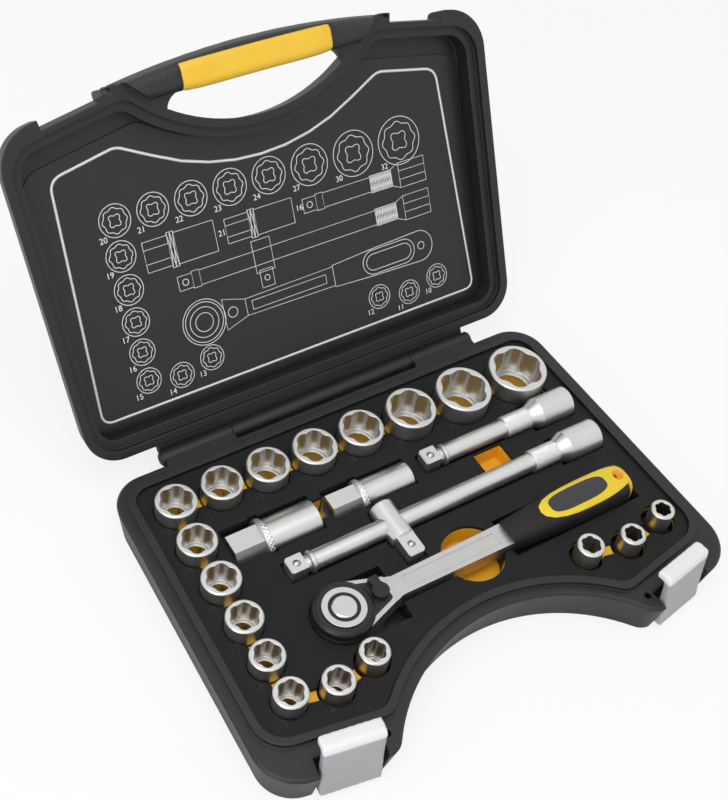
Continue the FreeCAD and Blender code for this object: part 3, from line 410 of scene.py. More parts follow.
def checkered(name, looks):
    """The lid's plastic, with diamond checkering on the handle at both sides of its grip."""
    finish = plastic(name, 0.4, looks.edge_round)
    edge = rubbed(finish)
    across = finish.along((1, 0, 0), (0, 0, 0))
    up = finish.along(lid_up, hinge_point)
    side = finish.node("ShaderNodeMath", {"operation": "ABSOLUTE"}, {0: across})
    low, high = (millimetres * height for height in lid_span("handle_grip"))
    grip_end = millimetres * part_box("handle_grip")[1].x
    gap, reach, foot, pitch = 2.5, 32.0, 1.0, 2.4
    zone = (side > grip_end + gap) * (side < grip_end + reach) * (up > low + foot) * (up < high)
    diamonds = finish.wave(across + up, pitch) * finish.wave(across - up, pitch) * zone
    ground = finish.mix(diamonds * 0.5, uneven(finish, looks.shell_colour), looks.worn_colour)
    return wear(finish, Base_Color=finish.mix(edge, ground, looks.worn_colour),
                Roughness=dull(finish, 0.44, edge),
                Normal=finish.bump(finish.fine * 0.06 + diamonds, 0.00035, finish.soft))


def painted_shade_rooms(room):
    """Where the liner is painted black, as shade, round the long tools: rectangles of (low x, high x, low y, high
    y).
    """
    rooms = []
    for node in long_tools:
        low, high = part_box(node)
        rooms.append((low.x, high.x, low.y, high.y))
    for bar_length in bar_lengths:
        node = bar_node(bar_length)
        low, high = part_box(node)
        y = middle(node).y
        rooms.append((low.x, high.x, y - bar_knurl_radius, y + bar_knurl_radius))
        rooms.append((high.x - bar_head_length, high.x, low.y, high.y))
    head = middle("ratchet_cover")
    reach = half_width("ratchet_cover")
    rooms.append((head.x, head.x + neck_reach, head.y - reach, head.y + reach))
    rooms.append((head.x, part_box("ratchet_grip")[0].x, head.y - shank_half, head.y + shank_half))
    return [(x0 - room, x1 + room, y0 - room, y1 + room) for x0, x1, y0, y1 in rooms]


def within(across, back, room):
    """1 inside a rectangle given in metres."""
    x0, x1, y0, y1 = (millimetres * value for value in room)
    return (across > x0) * (across < x1) * (back > y0) * (back < y1)


def lined(name, looks):
    """The liner's sheet: yellow under the tray's slots and wells, with painted shade in the tray's black round
    each long tool and in a ring round each socket.
    """
    finish = plastic(name, 0.4, looks.edge_round, grain=1.4)
    across = finish.along((1, 0, 0), (0, 0, 0))
    back = finish.along((0, 1, 0), (0, 0, 0))
    rim = 0.001
    deep = finish.along((0, 0, 1), (0, 0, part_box("pocket_liner")[1].z - rim)) < 0.0
    plan = finish.node("ShaderNodeCombineXYZ", inputs={"X": across, "Y": back})

    def round_room(x, y, radius):
        away = finish.node("ShaderNodeVectorMath", {"operation": "DISTANCE"},
                           {0: plan, 1: (millimetres * x, millimetres * y, 0)}, out="Value")
        return away < millimetres * radius

    # Painted shade: a black ring round each socket, below the liner's rim
    cup_shade_rings = 0.0
    for size in socket_sizes:
        x, y, _ = middle(socket_node(size))
        reach = half_width(socket_node(size))
        cup_shade_rings = round_room(x, y, reach + looks.cup_shade_room) - round_room(x, y, reach * looks.cup_floor) + cup_shade_rings
    black = cup_shade_rings * deep
    for room in painted_shade_rooms(looks.tool_shade_room):
        black = within(across, back, room) + black
    wells = {entry["name"]: entry["box_m"] for entry in frame["record"]["physics"]["openings"]}
    reach = looks.well_room
    yellow = 0.0
    for well in ("bar_finger_well", "plug_finger_well"):
        (x0, y0, _), (x1, y1, _) = wells[well]
        yellow = within(across, back, (x0 - reach, x1 + reach, y0 - reach, y1 + reach)) + yellow
    (x0, y0, _), (x1, y1, _) = wells["shank_well_front"][0], wells["shank_well_back"][1]
    corner = math.hypot(x1 - x0, y1 - y0) / 2
    yellow = round_room((x0 + x1) / 2, (y0 + y1) / 2, corner + reach) + yellow
    # Painted shade: black over the recesses, left yellow in the finger wells
    bare = finish.held(black) * (yellow < 0.5)
    ground = uneven(finish, looks.liner_colour, 0.9, 1.08)
    return wear(finish, Base_Color=finish.mix(bare, ground, looks.tray_colour),
                Roughness=dull(finish, 0.42),
                Normal=finish.bump(finish.fine, 0.00003, finish.soft))


def printed(name, tone):
    """Screen-printed ink with small gaps in its cover."""
    finish = surface(name, Specular_IOR_Level=0.35)
    cover = finish.noise(0.5, 3.0)
    return wear(finish, Base_Color=finish.mix(cover, shade(tone, 0.86), shade(tone, 1.05)),
                Roughness=0.4 + 0.2 * cover)


# Meshes

def add_piece(name, mesh, material, body):
    """Put a mesh in the scene as a piece that rides on a body."""
    piece = bpy.data.objects.new(name, mesh)
    mesh.materials.clear()
    mesh.materials.append(material)
    bpy.context.scene.collection.objects.link(piece)
    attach(piece, body)
    return piece


def dress(node, material):
    """Give a CAD piece its finish."""
    for slot in frame["nodes"][node].material_slots:
        slot.material = material


def to_mesh(name, made):
    """Turn a finished bmesh into a mesh whose faces look outward."""
    mesh = bpy.data.meshes.new(name)
    bmesh.ops.recalc_face_normals(made, faces=made.faces)
    made.to_mesh(mesh)
    made.free()
    return mesh


def smooth(mesh, degrees):
    """Shade a mesh smooth, with edges sharper than this angle kept."""
    mesh.polygons.foreach_set("use_smooth", [True] * len(mesh.polygons))
    mesh.set_sharp_from_angle(angle=math.radians(degrees))
    return mesh


def softened(node, grain, rounds):
    """A copy of a CAD piece's mesh, cut into cells of this grain and smoothed until its edges are round."""
    holder = bpy.data.objects.new(node + "_rounded", frame["nodes"][node].data.copy())
    cells = holder.modifiers.new("cells", "REMESH")
    cells.mode = "VOXEL"
    cells.voxel_size = grain
    rub = holder.modifiers.new("rub", "SMOOTH")
    rub.factor = 0.5
    rub.iterations = rounds
    return smooth(evaluated_mesh(holder), 60)


def tube_mesh(name, rings, ends=False):
    """A closed form through rings of points: the last joins the first, or each end has a flat face."""
    made = bmesh.new()
    loops = [[made.verts.new(p) for p in ring] for ring in rings]
    pairs = list(zip(loops, loops[1:]))
    if ends:
        made.faces.new(loops[0])
        made.faces.new(loops[-1])
    else:
        pairs.append((loops[-1], loops[0]))
    for this, after in pairs:
        for i in range(len(this)):
            made.faces.new((this[i - 1], this[i], after[i], after[i - 1]))
    return to_mesh(name, made)


def angles(count):
    """This many angles, evenly round a circle."""
    return [2 * math.pi * i / count for i in range(count)]


def around_x(x, radius_at, centre, count):
    """A ring of points round a line along X, whose radius may change with the angle."""
    ring = []
    for angle in angles(count):
        r = radius_at(angle)
        ring.append((x, centre[0] + r * math.cos(angle), centre[1] + r * math.sin(angle)))
    return ring


def triangle(value):
    """A triangle wave from 0 to 1, of period 1."""
    return 2 * abs(value - math.floor(value + 0.5))


def knurl(name, x0, x1, radius, centre, looks):
    """A sleeve of diamond points round a bar that lies along X."""
    count = looks.knurl_count
    cuts = 6
    pitch = 2 * math.pi * radius / count
    steps = max(8, round((x1 - x0) / pitch * cuts))
    sunk = 0.0004

    def flat(angle):
        return radius - sunk

    rings = [around_x(x0, flat, centre, count * cuts)]
    for k in range(steps + 1):
        x = x0 + (x1 - x0) * k / steps
        turn = (x - x0) / pitch

        def pointed(angle):
            sweep = angle * count / (2 * math.pi)
            return radius + looks.knurl_depth * min(triangle(sweep + turn), triangle(sweep - turn))

        rings.append(around_x(x, pointed, centre, count * cuts))
    rings.append(around_x(x1, flat, centre, count * cuts))
    return tube_mesh(name, rings)


def lathe(name, profile, centre, count=48):
    """A closed ring turned about the upright line at centre, from (radius, z) points."""
    rings = []
    for angle in angles(count):
        c, s = math.cos(angle), math.sin(angle)
        rings.append([(centre[0] + r * c, centre[1] + r * s, z) for r, z in profile])
    return smooth(tube_mesh(name, rings), 40)


class GripForm:
    """The ratchet's grip as a swelling, round-ended form with a boxy oval section."""

    # Shares of the full length, width and height, then the round tip's own sizes
    full_at = 0.66
    neck_width = 0.7
    neck_height = 0.81
    tip_length = 0.017
    tip_power = 2.6
    tip_gap = 0.0002

    def __init__(self, boxiness):
        low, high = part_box("ratchet_grip")
        self.start = low.x
        self.end = high.x
        self.axis_y = middle("ratchet_grip").y
        self.axis_z = (low.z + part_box("grip_inlay")[1].z) / 2
        self.half_width = half_width("ratchet_grip")
        self.half_height = self.axis_z - low.z
        self.power = 2 + 2 * boxiness

    def size(self, x):
        """Half width and half height of the section at x."""
        along = (x - self.start) / (self.end - self.start)
        rise = math.sin(min(1.0, along / self.full_at) * math.pi / 2)
        tip = max(0.0, (x - self.end + self.tip_length) / self.tip_length)
        closing = (1 - min(1.0, tip) ** self.tip_power) ** (1 / self.tip_power)
        width = self.neck_width + (1 - self.neck_width) * rise
        height = self.neck_height + (1 - self.neck_height) * rise
        return self.half_width * width * closing, self.half_height * height * closing

    def section(self, x, count=64):
        """The ring of points round the grip at x."""
        width, height = self.size(x)
        points = []
        for angle in angles(count):
            c, s = math.cos(angle), math.sin(angle)
            y = width * math.copysign(abs(c) ** (2 / self.power), c)
            z = height * math.copysign(abs(s) ** (2 / self.power), s)
            points.append((x, self.axis_y + y, self.axis_z + z))
        return points

    def surface_z(self, x, y):
        """Height of the grip's top at a point."""
        width, height = self.size(x)
        aside = min(0.985, abs(y - self.axis_y) / max(width, 1e-6))
        return self.axis_z + height * (1 - aside ** self.power) ** (1 / self.power)

    def body(self, name, steps=60):
        """The whole grip, with more rings towards its round end."""
        reach = self.end - self.start - self.tip_gap
        shares = [1 - (1 - k / steps) ** 1.8 for k in range(steps + 1)]
        rings = [self.section(self.start + reach * share_along) for share_along in shares]
        return smooth(tube_mesh(name, rings, ends=True), 40)

    def patch(self, name, centre_x, outline, hole, lift, thickness, steps=14, count=96):
        """A sheet laid on the grip's top: outline(angle) is its edge round a hole at centre_x."""
        tops = []
        for k in range(steps + 1):
            t = k / steps
            ring = []
            for angle in angles(count):
                edge_x, edge_y = outline(angle)
                x = centre_x + (1 - t) * hole * math.cos(angle) + t * (edge_x - centre_x)
                y = self.axis_y + (1 - t) * hole * math.sin(angle) + t * edge_y
                ring.append((x, y, self.surface_z(x, y) + lift))
            tops.append(ring)
        lows = [[(x, y, z - thickness) for x, y, z in ring] for ring in (tops[-1], tops[0])]
        return smooth(tube_mesh(name, tops + lows), 50)


def oval(start, end, half, power, centre_x):
    """The edge of a boxy oval, by the angle at which it is seen from centre_x on its long axis."""
    middle_x, reach = (start + end) / 2, (end - start) / 2

    def edge(angle):
        near, far = 0.0, end - start
        for _ in range(40):
            r = (near + far) / 2
            x, y = centre_x + r * math.cos(angle), r * math.sin(angle)
            inside = abs((x - middle_x) / reach) ** power + abs(y / half) ** power < 1
            near, far = (r, far) if inside else (near, r)
        return centre_x + near * math.cos(angle), near * math.sin(angle)

    return edge


def evaluated_mesh(holder):
    """The mesh that an object gives after its modifiers, or as a curve or text; the object goes."""
    bpy.context.scene.collection.objects.link(holder)
    graph = bpy.context.evaluated_depsgraph_get()
    mesh = bpy.data.meshes.new_from_object(holder.evaluated_get(graph))
    bpy.data.objects.remove(holder)
    return mesh


def lines_mesh(name, strokes, width, rise, place):
    """Flat printed lines: strokes are (points, closed) on a plane that place puts in space."""
    curve = bpy.data.curves.new(name, "CURVE")
    curve.dimensions = "3D"
    curve.bevel_depth = width / 2
    curve.bevel_resolution = 0
    curve.use_fill_caps = True
    for points, closed in strokes:
        spline = curve.splines.new("POLY")
        spline.points.add(len(points) - 1)
        spline.use_cyclic_u = closed
        for point, (x, y) in zip(spline.points, points):
            point.co = (x, y, 0, 1)
    mesh = evaluated_mesh(bpy.data.objects.new(name, curve))
    mesh.transform(place @ Matrix.Diagonal((1, 1, 2 * rise / width, 1)))
    return mesh


def figures_mesh(name, entries, height, rise, place):
    """Plain figures: entries are (text, x, y) on a plane that place puts in space."""
    made = bmesh.new()
    cap_share = 0.7
    for text, x, y in entries:
        curve = bpy.data.curves.new(name, "FONT")
        curve.body = text
        curve.size = height / cap_share
        curve.align_x = "CENTER"
        curve.align_y = "CENTER"
        curve.extrude = rise
        curve.resolution_u = 4
        mesh = evaluated_mesh(bpy.data.objects.new(name, curve))
        mesh.transform(place @ Matrix.Translation((x, y, 0)))
        made.from_mesh(mesh)
        bpy.data.meshes.remove(mesh)
    return to_mesh(name, made)


# Places

def socket_node(size):
    return "socket_%d" % size


def plug_node(size):
    return "spark_plug_socket_%d" % size


def bar_node(bar_length):
    return "extension_bar_%d" % bar_length


def middle(node):
    """The centre of a node's box."""
    low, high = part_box(node)
    return (low + high) / 2


def half_width(node):
    """Half of a node's size from front to back."""
    low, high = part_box(node)
    return (high.y - low.y) / 2


def lid_coordinates(node):
    """The (v, w) of a node's points on the open lid."""
    return [((p.co - hinge_point).dot(lid_up), (p.co - hinge_point).dot(lid_out))
            for p in frame["nodes"][node].data.vertices]


def lid_span(node):
    """How far up the lid a node starts and ends."""
    heights = [v for v, w in lid_coordinates(node)]
    return min(heights), max(heights)


def beside(centre, reach):
    """The place of a figure at the lower left of a round tool."""
    return centre.x - reach * math.sqrt(0.5), centre.y - reach * math.sqrt(0.5)


def label_place():
    """Takes (x, v, 0) to the label's face on the open lid."""
    face = max(w for v, w in lid_coordinates("lid_label_plate"))
    origin = hinge_point + lid_out * face
    turn = Matrix((Vector((1, 0, 0)), lid_up, lid_out)).transposed()
    return Matrix.Translation((0, origin.y, origin.z)) @ turn.to_4x4()


# The label's drawing is the tray's own layout, drawn smaller: its scales and its shift on the lid

drawing_across = 0.813
drawing_up = 0.7325
drawing_shift = Vector((0.0024, 0.0966))


class Drawing:
    """Line strokes on the label, from places and sizes of the tools in the tray."""

    def __init__(self, scale):
        self.scale = scale
        self.strokes = []

    def at(self, x, y):
        """Where a place in the tray comes on the label."""
        return Vector((x * drawing_across, y * drawing_up)) + drawing_shift

    def line(self, points, closed=False):
        self.strokes.append(([tuple(p) for p in points], closed))

    def ring(self, centre, radius, lobes=0, swell=0.0, count=48):
        points = []
        for angle in angles(count):
            r = self.scale * radius * (1 + swell * math.cos(lobes * angle))
            points.append((centre.x + r * math.cos(angle), centre.y + r * math.sin(angle)))
        self.line(points, True)

    def block(self, x0, x1, y, half, end_half=None):
        """A long tool's stretch from x0 to x1, of this half height at its start and end."""
        end_half = half if end_half is None else end_half
        a = self.at(x0, y)
        b = self.at(x1, y)
        h, e = half * self.scale, end_half * self.scale
        self.line([(a.x, a.y - h), (b.x, b.y - e), (b.x, b.y + e), (a.x, a.y + h)], True)

    def hatch(self, x0, x1, y, half, count):
        """Crossed lines over a stretch, as for knurling."""
        a = self.at(x0, y)
        b = self.at(x1, y)
        h = half * self.scale
        step = (b.x - a.x) / count
        for i in range(count):
            x = a.x + i * step
            self.line([(x, a.y - h), (x + step, a.y + h)])
            self.line([(x, a.y + h), (x + step, a.y - h)])


def draw_socket(drawing, size):
    node = socket_node(size)
    centre = drawing.at(*middle(node).xy)
    radius = half_width(node)
    drawing.ring(centre, radius)
    drawing.ring(centre, radius * 0.76, 8, 0.06, 96)
    drawing.ring(centre, radius * 0.37, 4, -0.2)


def draw_plug_socket(drawing, size):
    node = plug_node(size)
    low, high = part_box(node)
    y, half = middle(node).y, half_width(node)
    collar = low.x + plug_collar
    collar_end = collar + 0.006
    drawing.block(low.x, collar, y, half * 0.86)
    drawing.block(low.x, collar, y, half * 0.4)
    drawing.block(collar, collar_end, y, half)
    drawing.hatch(collar, collar_end, y, half, 2)
    drawing.block(collar_end, high.x, y, half * 0.9)


def draw_bar(drawing, bar_length):
    node = bar_node(bar_length)
    low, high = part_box(node)
    y, half = middle(node).y, half_width(node)
    neck = low.x + 0.013
    shoulder = neck + 0.007
    knurl_start, knurl_end, head = high.x - 0.057, high.x - 0.035, high.x - 0.027
    drawing.block(low.x, neck, y, half * 0.56)
    drawing.ring(drawing.at((low.x + neck) / 2, y), half * 0.24, count=20)
    drawing.block(neck, shoulder, y, half * 0.66)
    drawing.block(shoulder, knurl_start, y, half * 0.58)
    drawing.block(knurl_start, knurl_end, y, half * 0.68)
    drawing.hatch(knurl_start, knurl_end, y, half * 0.68, 14)
    drawing.block(knurl_end, head, y, half * 0.68, half)
    drawing.block(head, high.x, y, half)
    drawing.block(head, high.x, y, half * 0.34)


def draw_tee(drawing):
    low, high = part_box("tee_slider")
    x = (low.x + high.x) / 2
    half = (high.x - low.x) / 2
    shoulder = low.y + 0.0157
    for y0, y1, width in ((shoulder, high.y, half), (low.y, shoulder, half * 0.7)):
        drawing.block(x - width, x + width, (y0 + y1) / 2, (y1 - y0) / 2)
    drawing.ring(drawing.at(x, (low.y + shoulder) / 2), half * 0.28, count=20)


def draw_ratchet(drawing):
    head = middle("ratchet_cover")
    head_radius = half_width("ratchet_body")
    grip_low, grip_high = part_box("ratchet_grip")
    badge_low, badge_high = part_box("grip_badge")
    y = head.y
    centre = drawing.at(head.x, y)
    hub_radius = half_width("drive_gear") * 0.82
    for radius in (head_radius, head_radius * 0.88, hub_radius, half_width("release_button")):
        drawing.ring(centre, radius)
    neck = head.x + head_radius * 2
    drawing.block(head.x + head_radius * 0.95, neck, y, head_radius * 0.7, head_radius * 0.38)
    drawing.block(neck, grip_low.x, y, head_radius * 0.38, head_radius * 0.44)
    panel_start, panel_end = neck + 0.006, grip_low.x - 0.008
    drawing.block(panel_start, panel_end, y, head_radius * 0.2)
    lever_ring, hole_ring = 0.0045, 0.0034
    drawing.ring(drawing.at(middle("reverse_lever").x, y), lever_ring, count=24)
    half = half_width("ratchet_grip")
    start = drawing.at(grip_low.x, y)
    end = drawing.at(grip_high.x, y)
    h = half * drawing.scale
    waist = start.x + 0.03
    under = [(start.x, start.y - 0.7 * h), (waist, start.y - 0.86 * h), (end.x - h, end.y - h)]
    over = [(x, 2 * start.y - v) for x, v in reversed(under)]
    drawing.line(under + round_end(end.x - h, end.y, h, -90, 90) + over, True)
    plate_a = drawing.at(badge_low.x, y)
    plate_b = drawing.at(badge_high.x, y)
    for grow in (1.0, 1.5):
        r = half_width("grip_badge") * drawing.scale * grow
        inset = r / grow
        drawing.line(round_end(plate_b.x - inset, plate_b.y, r, -90, 90)
                     + round_end(plate_a.x + inset, plate_a.y, r, 90, 270), True)
    drawing.ring(drawing.at(grip_high.x - hang_hole_inset, y), hole_ring, count=24)


def round_end(x, y, radius, first, last, steps=14):
    """Points along an arc, from the first angle to the last in degrees."""
    points = []
    for i in range(steps + 1):
        angle = math.radians(first + (last - first) * i / steps)
        points.append((x + radius * math.cos(angle), y + radius * math.sin(angle)))
    return points


def rounded_outline(corners, steps=10):
    """A closed line through corners of (x, y, radius), each rounded by its radius."""
    points = []
    for i, (x, y, radius) in enumerate(corners):
        corner = Vector((x, y))
        before = (Vector(corners[i - 1][:2]) - corner).normalized()
        after = (Vector(corners[(i + 1) % len(corners)][:2]) - corner).normalized()
        half = before.angle(after) / 2
        reach = radius / math.tan(half)
        start, end = corner + before * reach, corner + after * reach
        for k in range(steps + 1):
            t = k / steps
            points.append(tuple((1 - t) ** 2 * start + 2 * t * (1 - t) * corner + t ** 2 * end))
    return points


def border_line():
    """The label's border: straight sides, rounded corners and the arc over the finger gap."""
    half, foot, foot_round = 0.152, 0.0282, 0.008
    shoulder_x, shoulder_v, shoulder_round = 0.146, 0.1945, 0.011
    nose_x, nose_v, nose_round = 0.099, 0.2035, 0.014
    arc_half, arc_low, arc_radius, arc_round = 0.076, 0.1723, 0.158, 0.006
    arc_steps = 8
    corners = [(-half, foot, foot_round), (half, foot, foot_round),
               (shoulder_x, shoulder_v, shoulder_round), (nose_x, nose_v, nose_round)]
    for i in range(arc_steps + 1):
        x = arc_half * (1 - 2 * i / arc_steps)
        v = arc_low + arc_radius - math.sqrt(arc_radius ** 2 - x ** 2)
        corners.append((x, v, arc_round))
    corners += [(-nose_x, nose_v, nose_round), (-shoulder_x, shoulder_v, shoulder_round)]
    return rounded_outline(corners)


# Operators

class SOCKETSET_OT_case(bpy.types.Operator):
    """Finish the base, the lid with its checkered handle, and their pins"""

    bl_idname = "socketset.case"
    bl_label = "Case shells"

    def execute(self, context):
        looks = context.scene.case_looks
        shell = moulded("case_plastic", looks.shell_colour, looks.worn_colour, roughness=0.44,
                        radius=looks.edge_round, specular=0.4)
        dress("base_shell", shell)
        dress("lid_shell", checkered("lid_plastic", looks))
        steel_colour = context.scene.tool_looks.steel_colour
        steel = satin_chrome("pin_steel", steel_colour, roughness=0.32, radius=0.0002)
        for node in ("hinge_pin", "latch_pins"):
            dress(node, steel)
        pin_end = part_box("hinge_pin")[1].x
        for side, hand in (("left", -1), ("right", 1)):
            lip = self.lip(side, hand, pin_end)
            dome = self.dome(side, hand, pin_end)
            add_piece("hinge_lip_" + side, lip, shell, "lid")
            add_piece("knuckle_end_" + side, dome, shell, "case_base")
        return {"FINISHED"}

    def lip(self, side, hand, pin_end):
        """The lid's lip over one of the base's knuckles."""
        root, edge, foot = 0.0086, 0.0034, 0.002
        face, edge_back, foot_back, root_back = -0.00495, -0.0057, -0.0085, -0.0108
        section = ((root, face), (edge, face), (foot, edge_back), (foot, foot_back), (root, root_back))
        overlap, room = 0.0015, 0.0004
        rings = []
        for x in (hand * (knuckle_split - overlap), hand * (pin_end - room)):
            start = hinge_point + Vector((x, 0, 0))
            rings.append([start + lid_up * v + lid_out * w for v, w in section])
        return tube_mesh("hinge_lip_" + side, rings, ends=True)

    def dome(self, side, hand, pin_end, steps=8):
        """The rounded end of one of the base's knuckles."""
        overlap, tip = 0.0002, 0.0001
        rings = []
        for step in range(steps + 1):
            turn = math.pi / 2 * step / steps
            reach = max(tip, knuckle_radius * math.sin(turn))
            x = hand * (pin_end - overlap + knuckle_dome * math.cos(turn))
            rings.append(around_x(x, lambda angle: reach, hinge_point.yz, 32))
        return smooth(tube_mesh("knuckle_end_" + side, rings, ends=True), 50)


class SOCKETSET_OT_tray(bpy.types.Operator):
    """Finish the tray and the yellow liner, and mould the sizes beside the sockets"""

    bl_idname = "socketset.tray"
    bl_label = "Tray and liner"

    def execute(self, context):
        looks = context.scene.case_looks
        plate = moulded("tray_plastic", looks.tray_colour, shade(looks.worn_colour, 0.7), roughness=0.58,
                        radius=looks.edge_round, specular=0.22)
        dress("tool_tray", plate)
        dress("pocket_liner", lined("liner_sheet", looks))
        gap = 0.0048
        entries = []
        for size in socket_sizes:
            node = socket_node(size)
            entries.append((str(size), *beside(middle(node), half_width(node) + gap)))
        place = Matrix.Translation((0, 0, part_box("tool_tray")[1].z))
        mesh = figures_mesh("tray_figures", entries, looks.figure_height, looks.figure_rise, place)
        raised = moulded("figure_plastic", shade(looks.tray_colour, 1.6), looks.worn_colour, roughness=0.4,
                         radius=0.0002)
        add_piece("tray_figures", mesh, raised, "case_base")
        return {"FINISHED"}


class SOCKETSET_OT_label(bpy.types.Operator):
    """Print the lid's plate: a border, a line drawing of the tray's contents and plain sizes"""

    bl_idname = "socketset.label"
    bl_label = "Label"

    def execute(self, context):
        looks = context.scene.label_looks
        plate = moulded("label_plate", looks.plate_colour, shade(looks.plate_colour, 1.6), roughness=0.36,
                        radius=0.0003, grain=0.3, depth=0.000006, specular=0.4)
        dress("lid_label_plate", plate)
        ink = printed("label_ink", looks.print_colour)
        place = label_place()
        drawing = Drawing(looks.drawing_scale)
        gap, end_gap = 0.0042, 0.005
        figures = []
        for size in socket_sizes:
            draw_socket(drawing, size)
            node = socket_node(size)
            reach = half_width(node) * looks.drawing_scale + gap
            figures.append((str(size), *beside(drawing.at(*middle(node).xy), reach)))
        for size in plug_sizes:
            draw_plug_socket(drawing, size)
            end = drawing.at(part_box(plug_node(size))[1].x, middle(plug_node(size)).y)
            figures.append((str(size), end.x + end_gap, end.y))
        for bar_length in bar_lengths:
            draw_bar(drawing, bar_length)
        draw_tee(drawing)
        draw_ratchet(drawing)
        rise = looks.ink_height
        pieces = (
            lines_mesh("label_border", [(border_line(), True)], looks.border_width, rise, place),
            lines_mesh("label_drawing", drawing.strokes, looks.line_width, rise, place),
            figures_mesh("label_figures", figures, looks.figure_height, rise, place),
        )
        for name, mesh in zip(("label_border", "label_drawing", "label_figures"), pieces):
            add_piece(name, mesh, ink, "lid")
        return {"FINISHED"}


class SOCKETSET_OT_handle(bpy.types.Operator):
    """Finish the yellow sleeve of the carrying handle, with rounded edges"""

    bl_idname = "socketset.handle"
    bl_label = "Handle grip"

    def execute(self, context):
        looks = context.scene.case_looks
        worn = shade(looks.handle_colour, 1.08)
        sleeve = moulded("grip_plastic", looks.handle_colour, worn, roughness=0.4, radius=looks.edge_round,
                         grain=0.8, specular=0.4)
        mesh = softened("handle_grip", looks.rounding_grain, looks.rounding)
        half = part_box("handle_grip")[1].x
        low, high = lid_span("handle_grip")
        for vertex in mesh.vertices:
            height = (vertex.co - hinge_point).dot(lid_up)
            below = 1 - (height - low) / (high - low)
            round_off = 1 - abs(vertex.co.x / half) ** 6
            vertex.co += lid_up * looks.handle_bow * (1 - (vertex.co.x / half) ** 2)
            vertex.co += (lid_out * 0.5 - lid_up * below) * looks.handle_swell * round_off
        piece = add_piece("handle_grip_rounded", mesh, sleeve, "lid")
        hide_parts("handle_grip")
        return {"FINISHED"}


class SOCKETSET_OT_latches(bpy.types.Operator):
    """Round the edges of the two silver latches, and paint a highlight on their tops"""

    bl_idname = "socketset.latches"
    bl_label = "Latches"

    def execute(self, context):
        looks = context.scene.case_looks
        # Painted highlight: the stretch near each latch's top is coloured pale, as lit from above
        highlight_start = (0, 0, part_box("latch_left")[1].z - looks.latch_highlight_height)
        paint = moulded("latch_paint", looks.latch_colour, shade(looks.latch_colour, 1.35), roughness=0.36,
                        radius=0.0004, grain=0.35, depth=0.000008, specular=0.5,
                        end=((0, 0, 1), highlight_start, looks.latch_highlight_colour))
        for side in ("latch_left", "latch_right"):
            mesh = softened(side, looks.rounding_grain, looks.rounding)
            piece = add_piece(side + "_rounded", mesh, paint, side)
            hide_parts(side)
        return {"FINISHED"}


class SOCKETSET_OT_sockets(bpy.types.Operator):
    """Finish the upright sockets in satin chrome with polished rims"""

    bl_idname = "socketset.sockets"
    bl_label = "Sockets"

    def execute(self, context):
        looks = context.scene.tool_looks
        # The bores get painted shade and a painted reflection of the liner
        chrome = satin_chrome("socket_chrome", looks.chrome_colour, roughness=0.34, radius=0.00045,
                              inside=(looks.bore_shade_colour, looks.bore_shade_reach))
        for size in socket_sizes:
            dress(socket_node(size), chrome)
        return {"FINISHED"}


class SOCKETSET_OT_plug_sockets(bpy.types.Operator):
    """Finish the spark plug sockets, with their rubber inserts and knurled collars"""

    bl_idname = "socketset.plug_sockets"
    bl_label = "Spark plug sockets"

    def execute(self, context):
        looks = context.scene.tool_looks
        chrome = satin_chrome("plug_socket_chrome", looks.chrome_colour, roughness=0.36, radius=0.0004,
                              stretch=(6, 1, 1))
        rubber = moulded("insert_rubber", looks.black_colour, shade(looks.black_colour, 3), roughness=0.7,
                         radius=0.0003)
        for size in plug_sizes:
            node = plug_node(size)
            dress(node, chrome)
            dress("spark_plug_insert_%d" % size, rubber)
            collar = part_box(node)[0].x + plug_collar
            mesh = knurl("plug_knurl_%d" % size, collar + plug_knurl_start, collar + plug_knurl_end,
                         half_width(node), middle(node).yz, looks)
            add_piece("plug_knurl_%d" % size, mesh, chrome, "spark_plug_%d" % size)
        return {"FINISHED"}


class SOCKETSET_OT_bars(bpy.types.Operator):
    """Finish the extension bars and the sliding tee, and knurl the bars"""

    bl_idname = "socketset.bars"
    bl_label = "Bars and tee"

    def execute(self, context):
        looks = context.scene.tool_looks
        turned = satin_chrome("bar_chrome", looks.chrome_colour, roughness=0.38, radius=0.0004,
                              stretch=(1, 8, 8))
        cross = satin_chrome("tee_chrome", looks.chrome_colour, roughness=0.36, radius=0.0004,
                             stretch=(8, 1, 8))
        steel = satin_chrome("ball_steel", looks.steel_colour, roughness=0.18, radius=0.0001)
        for bar_length in bar_lengths:
            node = bar_node(bar_length)
            dress(node, turned)
            dress("bar_%d_ball" % bar_length, steel)
            dress("bar_%d_spring" % bar_length, steel)
            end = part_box(node)[1].x
            mesh = knurl("bar_%d_knurl" % bar_length, end - bar_knurl_start, end - bar_knurl_end,
                         bar_knurl_radius, middle(node).yz, looks)
            add_piece("bar_%d_knurl" % bar_length, mesh, turned, "bar_%d" % bar_length)
        dress("tee_slider", cross)
        dress("tee_ball", steel)
        dress("tee_spring", steel)
        return {"FINISHED"}


